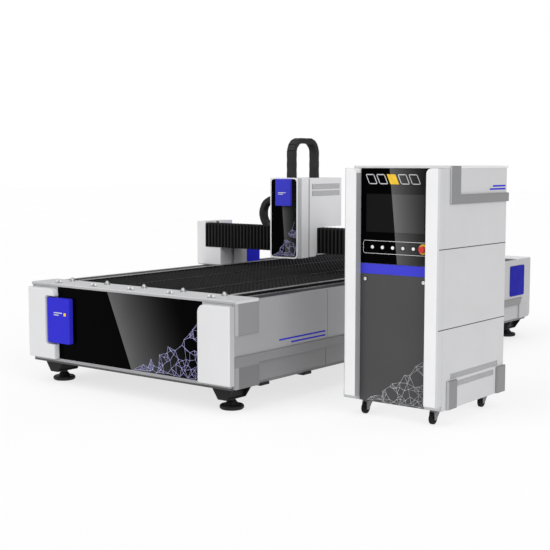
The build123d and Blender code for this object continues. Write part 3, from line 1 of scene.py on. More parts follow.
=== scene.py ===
import math
import random

import bmesh
import bpy
from mathutils import Matrix, Vector


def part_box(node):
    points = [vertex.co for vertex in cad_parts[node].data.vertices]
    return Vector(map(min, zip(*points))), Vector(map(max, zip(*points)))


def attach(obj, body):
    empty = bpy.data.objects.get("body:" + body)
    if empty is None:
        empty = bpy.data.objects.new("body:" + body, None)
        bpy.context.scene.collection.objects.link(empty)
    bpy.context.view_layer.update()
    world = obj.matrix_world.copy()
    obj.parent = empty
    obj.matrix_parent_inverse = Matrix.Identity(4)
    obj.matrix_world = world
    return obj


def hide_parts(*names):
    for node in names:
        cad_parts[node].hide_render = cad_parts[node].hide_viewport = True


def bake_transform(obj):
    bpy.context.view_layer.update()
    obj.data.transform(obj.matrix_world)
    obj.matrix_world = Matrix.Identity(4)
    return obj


bl_info = {
    "name": "Sheet Cutter",
    "version": (1, 0, 0),
    "blender": (4, 5, 0),
    "location": "View3D > Sidebar > Cutter",
    "description": "Finishes and fittings of a flat-bed sheet cutting machine with its control cabinet",
    "category": "Object",
}

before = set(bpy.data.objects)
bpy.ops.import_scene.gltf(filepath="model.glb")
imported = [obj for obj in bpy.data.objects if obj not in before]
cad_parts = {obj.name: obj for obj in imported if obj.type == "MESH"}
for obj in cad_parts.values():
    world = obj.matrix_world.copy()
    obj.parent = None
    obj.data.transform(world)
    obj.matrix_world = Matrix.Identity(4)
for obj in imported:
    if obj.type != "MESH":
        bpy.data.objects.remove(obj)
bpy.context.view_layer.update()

FRONT, UP = (0, -1, 0), (0, 0, 1)
CASTORS = ("front_left", "front_right", "rear_left", "rear_right")
CHAIN_WIDTH, CHAIN_HEIGHT = 0.080, 0.048
LINK_OVERLAP, LINK_SLIM = 1.12, 0.025
PRINT_LIFT = 0.0004
FOOT_XS, FOOT_YS, LUG_YS = (-1.588, 0.266), (-2.222, 0.0, 2.280), (-2.025, -1.490, 1.490)


class CutterColours(bpy.types.PropertyGroup):
    """Paint colours of the machine, in linear light."""

    white: bpy.props.FloatVectorProperty(
        name="Cover White", description="Powder coat on covers and cabinet", subtype="COLOR",
        default=(0.80, 0.80, 0.81), min=0.0, max=1.0)
    # painted shade: this grey stands in for the long sides of the white bed lying in shade
    bed_side: bpy.props.FloatVectorProperty(
        name="Bed Side", description="Light grey on the long sides of the bed", subtype="COLOR",
        default=(0.33, 0.33, 0.34), min=0.0, max=1.0)
    cabinet: bpy.props.FloatVectorProperty(
        name="Cabinet White", description="Powder coat on the cabinet shell", subtype="COLOR",
        default=(0.55, 0.55, 0.56), min=0.0, max=1.0)
    blue: bpy.props.FloatVectorProperty(
        name="Accent Blue", description="Badges on the bed and bars on the sides", subtype="COLOR",
        default=(0.031, 0.029, 0.58), min=0.0, max=1.0)
    grey: bpy.props.FloatVectorProperty(
        name="Trim Grey", description="Side bands and cabinet trim", subtype="COLOR",
        default=(0.22, 0.22, 0.225), min=0.0, max=1.0)
    door: bpy.props.FloatVectorProperty(
        name="Door Grey", description="Lower cabinet door", subtype="COLOR",
        default=(0.068, 0.068, 0.070), min=0.0, max=1.0)
    gloss: bpy.props.FloatVectorProperty(
        name="Gloss Black", description="Dark gloss panels", subtype="COLOR",
        default=(0.0006, 0.0006, 0.0007), min=0.0, max=1.0)
    sheen: bpy.props.FloatProperty(
        name="Panel Sheen", description="Brightness of the lighter field on the gloss panels",
        default=0.115, min=0.0, max=1.0)


class CutterFittings(bpy.types.PropertyGroup):
    """Sizes of the fittings that a user would change."""

    tooth_pitch: bpy.props.FloatProperty(
        name="Tooth Pitch", description="Spacing of the points along a support slat", unit="LENGTH",
        default=0.040, min=0.01, max=0.2)
    tooth_depth: bpy.props.FloatProperty(
        name="Tooth Depth", description="Depth of the notches between the points", unit="LENGTH",
        default=0.014, min=0.0, max=0.04)
    link_pitch: bpy.props.FloatProperty(
        name="Link Pitch", description="Spacing of the cable chain links", unit="LENGTH",
        default=0.048, min=0.02, max=0.1)
    pleat: bpy.props.FloatProperty(
        name="Pleat", description="Width of one bellows pleat", unit="LENGTH",
        default=0.040, min=0.01, max=0.1)
    louvre_pitch: bpy.props.FloatProperty(
        name="Louvre Pitch", description="Spacing of the vent bars", unit="LENGTH",
        default=0.0120, min=0.004, max=0.05)
    net_seed: bpy.props.IntProperty(
        name="Net Seed", description="Layout of the line prints", default=11, min=0)


class CutterSettings(bpy.types.PropertyGroup):
    """All settings of the machine's dressing."""

    colours: bpy.props.PointerProperty(type=CutterColours)
    fittings: bpy.props.PointerProperty(type=CutterFittings)


def settings():
    return bpy.context.scene.cutter


def middle(node):
    low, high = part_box(node)
    return (low + high) / 2


# Mesh helpers: shapes made by bmesh operators

def verts_of(geometry):
    return [item for item in geometry if isinstance(item, bmesh.types.BMVert)]


def edges_of(made):
    return list({edge for vert in made["verts"] for edge in vert.link_edges})


def rounded(bm, geometry, offset, segments, affect="EDGES"):
    bmesh.ops.bevel(bm, geom=geometry, offset=offset, offset_type="OFFSET", affect=affect,
                    segments=segments, profile=0.5, material=-1)


def bar(bm, low, high, bevel=0.0, segments=2):
    """A block between two corners, with its edges rounded if a bevel is given."""
    low, high = Vector(low), Vector(high)
    place = Matrix.Translation((low + high) / 2) @ Matrix.Diagonal((*(high - low), 1.0))
    made = bmesh.ops.create_cube(bm, size=1.0, matrix=place)
    if bevel:
        rounded(bm, edges_of(made), bevel, segments)


def rod(bm, centre, axis, radius, length, segments, bevel=0.0):
    """A round bar along an axis, with its rims rounded if a bevel is given."""
    turn = Vector(UP).rotation_difference(Vector(axis)).to_matrix().to_4x4()
    made = bmesh.ops.create_cone(bm, cap_ends=True, segments=segments, radius1=radius, radius2=radius,
                                 depth=length, matrix=Matrix.Translation(centre) @ turn)
    if bevel:
        rims = [edge for edge in edges_of(made)
                if len(edge.link_faces) == 2 and any(len(face.verts) > 4 for face in edge.link_faces)]
        rounded(bm, rims, bevel, 2)


def ring(bm, centre, inner, outer, thick):
    """A flat ring that faces the front: a rectangle spun round its axis."""
    centre, axis = Vector(centre), Vector(FRONT)
    side = axis.orthogonal().normalized()
    corners = [bm.verts.new(centre + side * reach + axis * lift)
               for reach, lift in ((inner, 0), (outer, 0), (outer, thick), (inner, thick))]
    edges = [bm.edges.new((corners[i], corners[(i + 1) % 4])) for i in range(4)]
    bmesh.ops.spin(bm, geom=corners + edges, cent=centre, axis=axis, angle=math.tau, steps=36,
                   use_merge=True)


def piece(name, bm, finish, body=None, smooth=False):
    """Turns a bmesh into a finished object that rides on a body."""
    bmesh.ops.recalc_face_normals(bm, faces=bm.faces)
    mesh = bpy.data.meshes.new(name)
    bm.to_mesh(mesh)
    bm.free()
    if smooth:
        mesh.shade_smooth()
        mesh.set_sharp_from_angle(angle=math.radians(35))
    obj = bpy.data.objects.new(name, mesh)
    bpy.context.scene.collection.objects.link(obj)
    mesh.materials.append(FINISHES[finish])
    if body:
        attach(obj, body)
    return obj


# Materials: every finish is node based and reads Object coordinates

def fill(node, values):
    for name, value in values.items():
        node.inputs[name].default_value = value


def start_finish(name, roughness, metallic=0.0, specular=0.5):
    material = bpy.data.materials.new(name)
    material.use_nodes = True
    tree = material.node_tree
    shader = tree.nodes["Principled BSDF"]
    fill(shader, {"Roughness": roughness, "Metallic": metallic, "Specular IOR Level": specular})
    return material, tree, shader, tree.nodes.new("ShaderNodeTexCoord")


def noise(tree, place, scale, detail=3.0, stretch=None):
    """Noise on Object coordinates, stretched along an axis for brushed or rolled metal."""
    texture = tree.nodes.new("ShaderNodeTexNoise")
    fill(texture, {"Scale": scale, "Detail": detail})
    source = place.outputs["Object"]
    if stretch:
        mapping = tree.nodes.new("ShaderNodeMapping")
        fill(mapping, {"Scale": stretch})
        tree.links.new(source, mapping.inputs["Vector"])
        source = mapping.outputs["Vector"]
    tree.links.new(source, texture.inputs["Vector"])
    return texture.outputs["Fac"]


def spread(tree, value, low, high, start=0.3, end=0.7):
    """Maps a value to a range."""
    node = tree.nodes.new("ShaderNodeMapRange")
    fill(node, {"From Min": start, "From Max": end, "To Min": low, "To Max": high})
    tree.links.new(value, node.inputs["Value"])
    return node.outputs["Result"]


def mottle(tree, place, scale, low=0.0, high=1.0):
    """Cloudy noise in a range."""
    return spread(tree, noise(tree, place, scale), low, high)


def tint(tree, fac, dark, light):
    """Two colours mixed by a value."""
    node = tree.nodes.new("ShaderNodeMix")
    node.data_type = "RGBA"
    for name, colour in (("A", dark), ("B", light)):
        if isinstance(colour, bpy.types.NodeSocket):
            tree.links.new(colour, node.inputs[name])
        else:
            node.inputs[name].default_value = (*colour, 1.0)
    tree.links.new(fac, node.inputs["Factor"])
    return node.outputs["Result"]


def scaled(colour, factor):
    return [channel * factor for channel in colour]


def maths(tree, operation, first, second):
    node = tree.nodes.new("ShaderNodeMath")
    node.operation = operation
    for socket, value in zip(node.inputs, (first, second)):
        if isinstance(value, (int, float)):
            socket.default_value = value
        else:
            tree.links.new(value, socket)
    return node.outputs["Value"]


def below(axis, value, centre=None):
    """Limit of a zone: short of a place, or nearer than that to a centre."""
    return axis, centre, "LESS_THAN", value


def above(axis, value, centre=None):
    """Limit of a zone: past a place, or further than that from a centre."""
    return axis, centre, "GREATER_THAN", value


def ramp(axis, start, end):
    """Limit of a zone that comes in gradually."""
    return axis, None, "RAMP", (start, end)


def zone(tree, place, limits):
    """1 where every limit holds."""
    split = tree.nodes.new("ShaderNodeSeparateXYZ")
    tree.links.new(place.outputs["Object"], split.inputs["Vector"])
    shown = None
    for axis, centre, comparison, value in limits:
        along = split.outputs[axis]
        if centre is not None:
            along = maths(tree, "ABSOLUTE", maths(tree, "SUBTRACT", along, centre), 0.0)
        if comparison == "RAMP":
            holds = spread(tree, along, 0.0, 1.0, *value)
        else:
            holds = maths(tree, comparison, along, value)
        shown = holds if shown is None else maths(tree, "MULTIPLY", shown, holds)
    return shown


def relief(tree, shader, height, strength, distance, edge=0.0):
    """Bump from a height value over softly rounded edges."""
    bump = tree.nodes.new("ShaderNodeBump")
    fill(bump, {"Strength": strength, "Distance": distance})
    tree.links.new(height, bump.inputs["Height"])
    if edge:
        rounding = tree.nodes.new("ShaderNodeBevel")
        rounding.samples = 4
        fill(rounding, {"Radius": edge})
        tree.links.new(rounding.outputs["Normal"], bump.inputs["Normal"])
    tree.links.new(bump.outputs["Normal"], shader.inputs["Normal"])


def dress(tree, shader, colour, gloss):
    tree.links.new(colour, shader.inputs["Base Color"])
    tree.links.new(gloss, shader.inputs["Roughness"])


def painted(name, colour, roughness=0.38, depth=0.05, specular=0.4, edge=0.004, patches=()):
    """Powder coat: faint colour drift, orange peel, rounded edges and patches of other colours; the patches
    carry other paint and also painted shade and painted highlights.
    """
    material, tree, shader, place = start_finish(name, roughness, specular=specular)
    drift = mottle(tree, place, 2.2)
    coat = tint(tree, drift, scaled(colour, 1 - depth), colour)
    for second, limits in patches:
        other = tint(tree, drift, scaled(second, 1 - depth), second)
        coat = tint(tree, zone(tree, place, limits), coat, other)
    dress(tree, shader, coat, mottle(tree, place, 14.0, roughness - 0.05, roughness + 0.06))
    relief(tree, shader, noise(tree, place, 420.0, detail=1.0), 0.06, 0.0006, edge)
    return material


def steel(name, colour, roughness, stretch, wear=0.25):
    """Ground or rolled steel with marks along one axis."""
    material, tree, shader, place = start_finish(name, roughness, metallic=1.0)
    marks = noise(tree, place, 60.0, detail=4.0, stretch=stretch)
    shade = spread(tree, marks, 0.0, 1.0, 0.35, 0.65)
    dress(tree, shader, tint(tree, shade, scaled(colour, 1 - wear), colour),
          spread(tree, marks, roughness - 0.07, roughness + 0.1))
    relief(tree, shader, marks, 0.12, 0.0004, 0.0015)
    return material


def moulded(name, colour, roughness, grain=0.18, specular=0.35):
    """Moulded plastic or rubber with a fine grain."""
    material, tree, shader, place = start_finish(name, roughness, specular=specular)
    dress(tree, shader, tint(tree, mottle(tree, place, 9.0), scaled(colour, 0.8), scaled(colour, 1.15)),
          mottle(tree, place, 35.0, roughness - 0.06, roughness + 0.08))
    relief(tree, shader, noise(tree, place, 900.0, detail=2.0), grain, 0.0004, 0.001)
    return material


def gloss_panel(name, top, bottom, fade, base, bright, edge_patch=None):
    """Gloss black with a lighter field right of a slanted line, fading to the far side."""
    material, tree, shader, place = start_finish(name, 0.16, specular=0.015)
    split = tree.nodes.new("ShaderNodeSeparateXYZ")
    tree.links.new(place.outputs["Object"], split.inputs["Vector"])
    slope = (bottom[0] - top[0]) / (bottom[1] - top[1])
    line = maths(tree, "MULTIPLY_ADD", split.outputs["Z"], slope)
    line.node.inputs[2].default_value = top[0] - slope * top[1]
    across = maths(tree, "SUBTRACT", split.outputs["X"], line)
    field = maths(tree, "POWER", spread(tree, across, 1.0, 0.0, 0.0, fade), 2.2)
    shown = maths(tree, "MULTIPLY", maths(tree, "GREATER_THAN", across, 0.0), field)
    shown = maths(tree, "MULTIPLY", shown, mottle(tree, place, 5.0, 0.92, 1.0))
    coat = tint(tree, shown, base, (bright, bright, bright))
    if edge_patch:
        second, limits = edge_patch
        coat = tint(tree, zone(tree, place, limits), coat, second)
    dress(tree, shader, coat, mottle(tree, place, 25.0, 0.13, 0.2))
    return material


def pleated_cloth(name, colour, pleat_shade):
    """Coated cloth with a fine weave, with painted shade deep in its pleats."""
    material, tree, shader, place = start_finish(name, 0.55, specular=0.2)
    weave = tree.nodes.new("ShaderNodeTexBrick")
    fill(weave, {"Scale": 260.0, "Color1": (1, 1, 1, 1), "Color2": (0.8, 0.8, 0.8, 1),
                 "Mortar": (0.2, 0.2, 0.2, 1)})
    tree.links.new(place.outputs["Object"], weave.inputs["Vector"])
    cloth = tint(tree, mottle(tree, place, 12.0), scaled(colour, 0.7), colour)
    cloth = tint(tree, zone(tree, place, pleat_shade), cloth, scaled(colour, 0.16))
    dress(tree, shader, cloth, mottle(tree, place, 30.0, 0.42, 0.6))
    relief(tree, shader, weave.outputs["Fac"], 0.15, 0.0004)
    return material


def tone(value, cool=0.01):
    """A neutral colour with a touch of blue."""
    return value, value, value + cool


# Finishes: made once and shared by the pieces

FINISHES = {}


def bed_finishes():
    colours = settings().colours
    bed_x = middle("front_end_cap").x
    black, bright = tone(0.010, 0.001), colours.sheen
    block = [above("X", 1.1005, bed_x), below("Z", 0.812)]
    block_edge_highlight = [*block, below("Y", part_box("front_end_cap")[0].y + 0.036)]
    cap_lip_shade = [below("Y", -2.3935), below("Z", 0.828)]
    low_side = [below("Z", 0.370)]
    low_side_light_ramp = [*low_side, ramp("Y", -1.2, 2.0)]
    band_block_shade = [below("Y", -1.980), below("Z", 0.345)]
    band_edge_highlight = [below("Y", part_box("side_bands")[0].y + 0.036), below("Z", 0.345)]
    rear_top = [above("Z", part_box("rear_end_cover")[1].z - 0.004)]
    frame_edge = [above("X", 1.060, bed_x), below("Z", 0.210)]
    return {
        # front cap: the front face of the lip and the drop blocks at both ends are painted darker as shade,
        # and the blocks' front edge is a painted highlight
        "cap": painted("cap_white", tone(0.64), edge=0.008, patches=(
            (tone(0.42), cap_lip_shade), (tone(0.26, 0.005), block), (tone(0.42), block_edge_highlight))),
        # corner covers: the outer side faces are painted darker as shade; along the bottom the cover is mid
        # grey, and its lowest edge is near black as painted shade under the sill
        "corner": painted("corner_white", tone(0.68), edge=0.008, patches=(
            (tone(0.46), [above("X", 1.0985, bed_x)]), (tone(0.30), [below("Z", 0.2142)]),
            (tone(0.06, 0.002), [below("Z", 0.196)]))),
        # long sides: the grey is painted shade, and the ramps towards the rear are painted light; the part
        # below the band is darker
        "bed_side": painted("bed_side_shaded_grey", colours.bed_side, patches=(
            (tone(0.43), [ramp("Y", -1.7, -0.5)]), (tone(0.21, 0.005), low_side),
            (tone(0.41), low_side_light_ramp))),
        # rear cover: its sides are painted grey as shade, and its top keeps the cover white
        "rear": painted("rear_shaded_grey", tone(0.43), patches=((tone(0.88), rear_top),)),
        # the badge at the rear is a darker blue than the front one, as painted shade
        "blue": painted("accent_blue", colours.blue, 0.40, 0.08, 0.05, patches=(
            ((0.005, 0.006, 0.30), [above("Y", 1.90)]),)),
        # side bands: the front block is painted darker as shade, and its front edge is a painted highlight
        "grey": painted("band_grey", colours.grey, 0.42, edge=0.008, patches=(
            (tone(0.165, 0.005), band_block_shade), (tone(0.30), band_edge_highlight))),
        "black": painted("black_paint", black, 0.45, 0.2, 0.2),
        "frame": painted("frame_paint", black, 0.45, 0.2, 0.2, patches=(
            (tone(0.19, 0.005), frame_edge),)),
        "rail_black": painted("slat_rail_paint", black, 0.45, 0.2, 0.2, patches=(
            (tone(0.50), [above("Z", 0.832)]),)),
        # cover strips: grey along the right outer edge; the pale left outer edge is a painted highlight
        "strip": painted("strip_paint", tone(0.016, 0.001), 0.5, 0.2, 0.2, patches=(
            (tone(0.30), [above("X", 1.066, bed_x)]), (tone(0.62), [below("X", bed_x - 1.066)]))),
        # front panel: both ends, seen in the gaps above the corner covers, are painted mid grey as a soft
        # painted shadow line
        "bed_gloss": gloss_panel("bed_panel_gloss", (-0.868, 0.801), (-0.611, 0.215), 0.78,
                                 colours.gloss, bright, (tone(0.42), [above("X", 0.792, bed_x)])),
        "slat": steel("slat_steel", tone(0.075, 0.001), 0.5, (3.0, 3.0, 30.0), 0.5),
        "tie": steel("tie_steel", tone(0.20, 0.005), 0.45, (1.0, 6.0, 1.0), 0.4),
    }


def cabinet_finishes():
    colours = settings().colours
    x = middle("cabinet_shell").x
    white, shell = colours.white, colours.cabinet
    # the outer side faces of the white covers take the darker shell tone as painted shade
    outer_side_shade = (shell, [above("X", 0.374, x)])
    seams = [(tone(0.03, 0.0), [above("X", 0.3845, x), below("Z", 0.0032, height)])
             for height in (0.681, 1.234)]
    trim_front_highlight = [below("Y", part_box("cabinet_trim")[0].y + 0.018)]
    top_cap = [below("X", 0.3872, x), above("Z", 1.783)]
    field = ((1.373, 1.792), (1.443, 1.103))
    return {
        "cabinet": painted("cabinet_white", shell, patches=seams),
        # cover strips: the inner side faces are painted grey as shade
        "strips": painted("strip_white", white, edge=0.008, patches=(
            outer_side_shade, *seams, (tone(0.37), [below("X", 0.2835, x)]))),
        # cover feet: the bottom strip is painted grey as shade on the rounded lower edge
        "cover_foot": painted("cover_foot_white", white, edge=0.006, patches=(
            outer_side_shade, (tone(0.46), [below("Z", 0.1495)]))),
        # trim: the front edge is a lighter painted highlight; the top cap is white
        "trim": painted("trim_grey", colours.grey, 0.42, edge=0.008, patches=(
            (tone(0.40), trim_front_highlight), (tone(0.76), top_cap))),
        "door": painted("door_grey", colours.door, 0.5, 0.08, 0.15),
        "fork": painted("fork_grey", tone(0.16, 0.005), 0.4),
        "panel_gloss": gloss_panel("control_panel_gloss", *field, 0.44, colours.gloss,
                                   colours.sheen * 0.9),
        "screen": gloss_panel("screen_gloss", *field, 0.47, tone(0.0085, 0.0005), colours.sheen * 1.3),
    }


def gantry_finishes():
    colours = settings().colours
    white = colours.white
    low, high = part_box("head_panel")
    head_corner_shade = [above("X", (high.x - low.x) / 2 + 0.005, middle("head_panel").x),
                   below("Y", high.y + 0.032)]
    fold_low, fold_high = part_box("bellows_left")
    # painted shade in the bellows' hollows: all but the outer faces and the top
    pleat_shade = [below("Y", (fold_high.y - fold_low.y) / 2 - 0.005, middle("bellows_left").y),
             below("Z", fold_high.z - 0.005)]
    return {
        "white": painted("cover_white", white),
        # head cover: the front strip of each side is painted grey as shade beside the rounded edge
        "head": painted("head_white", white, patches=((tone(0.47, 0.02), head_corner_shade),)),
        "rim": painted("rim_white", tone(0.88), 0.3, edge=0.002),
        "cap_blue": painted("cap_blue", (0.036, 0.040, 0.92), 0.40, 0.08, 0.05),
        "panel_blue": painted("panel_blue", (0.054, 0.055, 0.60), 0.40, 0.08, 0.05),
        "head_gloss": gloss_panel("head_panel_gloss", (-0.546, 1.446), (-0.512, 1.045), 0.20,
                                  colours.gloss, colours.sheen * 0.9),
        "bellows": pleated_cloth("bellows_cloth", tone(0.019, 0.001), pleat_shade),
        "motor": painted("motor_black", tone(0.02, 0.001), 0.4, 0.2),
    }


def small_part_finishes():
    return {
        "dark": painted("dark_paint", tone(0.020, 0.001), 0.5, 0.2, 0.2),
        "vent": painted("vent_grey", tone(0.10, 0.002), 0.5),
        "rail": steel("ground_steel", tone(0.55), 0.28, (8.0, 0.6, 8.0)),
        "plate": steel("plated_steel", tone(0.50), 0.36, (2.0, 2.0, 2.0)),
        "stud": steel("stud_steel", tone(0.52), 0.24, (1.0, 1.0, 1.0), 0.15),
        "chrome": steel("polished_steel", tone(0.72), 0.14, (1.0, 1.0, 1.0), 0.08),
        "chain": moulded("chain_plastic", tone(0.016, 0.001), 0.48, specular=0.25),
        "button": moulded("button_white", tone(0.80, 0.0), 0.3, 0.05, 0.5),
        "red": moulded("stop_red", (0.60, 0.015, 0.012), 0.28, 0.05, 0.5),
        "yellow": moulded("warm_yellow", (0.80, 0.50, 0.02), 0.4, 0.08, 0.4),
        "tread": moulded("tread_rubber", tone(0.006, 0.0), 0.6, 0.3, 0.14),
        "line": moulded("print_pale", (0.46, 0.46, 0.80), 0.5, 0.02, 0.2),
        "line_grey": moulded("print_grey", tone(0.58, 0.02), 0.5, 0.02, 0.2),
    }


NODE_FINISH = {
    "white": ("gantry_end_covers", "carriage_housing", "gantry_beam"),
    "head": ("head_cover",),
    "cap": ("front_end_cap",),
    "corner": ("front_corner_covers",),
    "bed_side": ("side_panels",),
    "rear": ("rear_end_cover",),
    "strips": ("cabinet_covers",),
    "cabinet": ("cabinet_shell",),
    "blue": ("bed_badges",),
    "cap_blue": ("gantry_end_caps",),
    "panel_blue": ("head_badge", "keyboard_drawer"),
    "grey": ("side_bands",),
    "trim": ("cabinet_trim",),
    "door": ("cabinet_door",),
    "frame": ("bed_frame",),
    "black": ("levelling_feet",),
    "rail_black": ("slat_rails",),
    "strip": ("rail_cover_strips",),
    "dark": ("scrap_trays", "cabinet_equipment"),
    "bed_gloss": ("front_panel",),
    "head_gloss": ("head_panel",),
    "panel_gloss": ("control_panel",),
    "screen": ("monitor",),
    "slat": ("support_slats",),
    "rail": ("guide_rails", "cross_rails", "drive_pinion_left", "drive_pinion_right", "cross_pinion",
             "cutting_head"),
    "plate": ("gantry_saddles", "carriage_plate"),
    "fork": ("castor_plates", *(f"castor_fork_{end}" for end in CASTORS)),
    "tread": tuple(f"castor_wheel_{end}" for end in CASTORS),
    "chrome": ("door_lock_left", "door_lock_right"),
    "stud": ("ball_units",),
    "bellows": ("bellows_left", "bellows_right"),
    "chain": ("cross_chain", "loop_chain"),
    "motor": ("travel_motors", "carriage_motor"),
    "button": tuple(f"button_{number}" for number in range(1, 6)),
    "red": ("emergency_stop",),
}


class CUTTER_OT_finishes(bpy.types.Operator):
    """Gives every solid of the machine its finish"""

    bl_idname = "cutter.finishes"
    bl_label = "Finishes"

    def execute(self, context):
        for group in (bed_finishes, cabinet_finishes, gantry_finishes, small_part_finishes):
            FINISHES.update(group())
        wanted = {node: finish for finish, nodes in NODE_FINISH.items() for node in nodes}
        for name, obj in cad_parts.items():
            obj.data.materials.clear()
            obj.data.materials.append(FINISHES[wanted[name]])
        return {"FINISHED"}


class CUTTER_OT_slats(bpy.types.Operator):
    """Toothed support slats, the two tie strips across them and the floor sheets under them"""

    bl_idname = "cutter.slats"
    bl_label = "Support Slats"

    def execute(self, context):
        fittings = settings().fittings
        pitch, thick = 0.050, 0.004
        low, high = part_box("support_slats")
        teeth = round((high.x - low.x) / fittings.tooth_pitch)
        bm = bmesh.new()
        turn = Matrix.Rotation(math.radians(90), 4, "X")
        centre = Vector(((low.x + high.x) / 2, low.y, (low.z + high.z) / 2))
        sized = Matrix.Diagonal(((high.x - low.x) / 2, (high.z - low.z) / 2, 1.0, 1.0))
        grid = bmesh.ops.create_grid(bm, x_segments=2 * teeth, y_segments=1, size=1.0,
                                     matrix=Matrix.Translation(centre) @ turn @ sized)
        step = (high.x - low.x) / (2 * teeth)
        for vert in grid["verts"]:
            if vert.co.z > centre.z and round((vert.co.x - low.x) / step) % 2 == 0:
                vert.co.z -= fittings.tooth_depth
        bmesh.ops.recalc_face_normals(bm, faces=bm.faces)
        bmesh.ops.solidify(bm, geom=bm.faces[:], thickness=thick)
        first = bm.verts[:] + bm.edges[:] + bm.faces[:]
        near = min(vert.co.y for vert in bm.verts)
        bmesh.ops.translate(bm, verts=bm.verts, vec=(0, low.y - near, 0))
        count = round((high.y - low.y - thick) / pitch) + 1
        for number in range(1, count):
            copy = bmesh.ops.duplicate(bm, geom=first)
            bmesh.ops.translate(bm, verts=verts_of(copy["geom"]), vec=(0, pitch * number, 0))
        slats = piece("support_slats_toothed", bm, "slat", "base")
        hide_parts("support_slats")
        bm = bmesh.new()
        for x in (centre.x - 0.330, centre.x + 0.330):
            bar(bm, (x - 0.003, low.y + 0.006, high.z - 0.010), (x + 0.003, high.y - 0.006, high.z - 0.003))
        piece("slat_ties", bm, "tie", "base")
        self.floor_sheets(centre.x)
        return {"FINISHED"}

    def floor_sheets(self, x):
        """Dark sheets with two ribs each, between the cross members of the frame."""
        low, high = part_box("bed_frame")
        half, foot, top, inset = 0.8195, 0.288, 0.291, 0.03
        edges = (low.y + inset, -2.065, -1.945, -1.0625, -0.9425, -0.06,
                 0.06, 0.9425, 1.0625, 1.945, 2.065, high.y - inset)
        bm = bmesh.new()
        for start, stop in zip(edges[::2], edges[1::2]):
            bar(bm, (x - half, start, foot), (x + half, stop, top), 0.001, 1)
            for rib in (x - 0.30, x + 0.30):
                bar(bm, (rib - 0.02, start, 0.283), (rib + 0.02, stop, 0.2885), 0.002, 1)
        piece("bed_floor_sheets", bm, "dark", "base")


class CUTTER_OT_bellows(bpy.types.Operator):
    """Pleated bellows between the end covers and the carriage, in sections of up to two pleats"""

    bl_idname = "cutter.bellows"
    bl_label = "Bellows"

    def execute(self, context):
        pleat = settings().fittings.pleat
        for hand in ("left", "right"):
            node = f"bellows_{hand}"
            low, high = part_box(node)
            fixed, moving = (low.x, high.x) if hand == "left" else (high.x, low.x)
            count = round((high.x - low.x) / pleat)
            sections = (count + 1) // 2
            for number in range(sections):
                first = 2 * number
                last = min(first + 2, count)
                ends = [fixed + (moving - fixed) * index / count for index in (first, last)]
                obj = self.section(f"{node}_section_{number + 1:02d}", low, high, ends, last - first)
                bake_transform(obj)
                if number == 0:
                    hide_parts(node)
        return {"FINISHED"}

    def section(self, name, low, high, ends, pleats):
        fold, clear, corner, flat, thick = 0.020, 0.163, 0.010, 0.12, 0.0025
        bm = bmesh.new()
        front, back, top, foot, tail = low.y, high.y, high.z, low.z, low.z + clear
        ridge, valley = [
            [(front + d, foot), (front + d, top - d - corner), (front + d + corner, top - d),
             (back - d - corner, top - d), (back - d, top - d - corner), (back - d, tail)]
            for d in (0.0, fold)]
        row = [bm.verts.new((ends[0], y, z)) for y, z in ridge]
        edges = [bm.edges.new(pair) for pair in zip(row, row[1:])]
        stops = []
        for pleat in range(pleats):
            for share, outline in ((flat, ridge), (0.5 - flat / 2, valley), (0.5 + flat / 2, valley),
                                   (1 - flat, ridge), (1.0, ridge)):
                stops.append(((pleat + share) / pleats, outline))
        for share, outline in stops:
            verts = verts_of(bmesh.ops.extrude_edge_only(bm, edges=edges)["geom"])
            row = [next(edge.other_vert(old) for edge in old.link_edges if edge.other_vert(old) in verts)
                   for old in row]
            for vert, (y, z) in zip(row, outline):
                vert.co = (ends[0] + (ends[1] - ends[0]) * share, y, z)
            edges = [bm.edges.get(pair) for pair in zip(row, row[1:])]
        bmesh.ops.recalc_face_normals(bm, faces=bm.faces)
        bmesh.ops.solidify(bm, geom=bm.faces[:], thickness=thick)
        return piece(name, bm, "bellows")


def chain_link(bm, place, slim, length):
    """One closed chain link: a body with pivot bosses and raised side plates."""
    start = len(bm.verts)
    width, height = CHAIN_WIDTH * slim, CHAIN_HEIGHT * slim
    bar(bm, (-length / 2, -width / 2, -height / 2), (length / 2, width / 2, height / 2), 0.002, 1)
    for side in (-width / 2, width / 2):
        rod(bm, (length * 0.28, side, 0), (0, 1, 0), height * 0.24, 0.003, 12)
        bar(bm, (-length * 0.42, side - 0.001, -height * 0.34), (-length * 0.02, side + 0.001, height * 0.34))
    bm.verts.ensure_lookup_table()
    bmesh.ops.transform(bm, matrix=place, verts=bm.verts[start:])


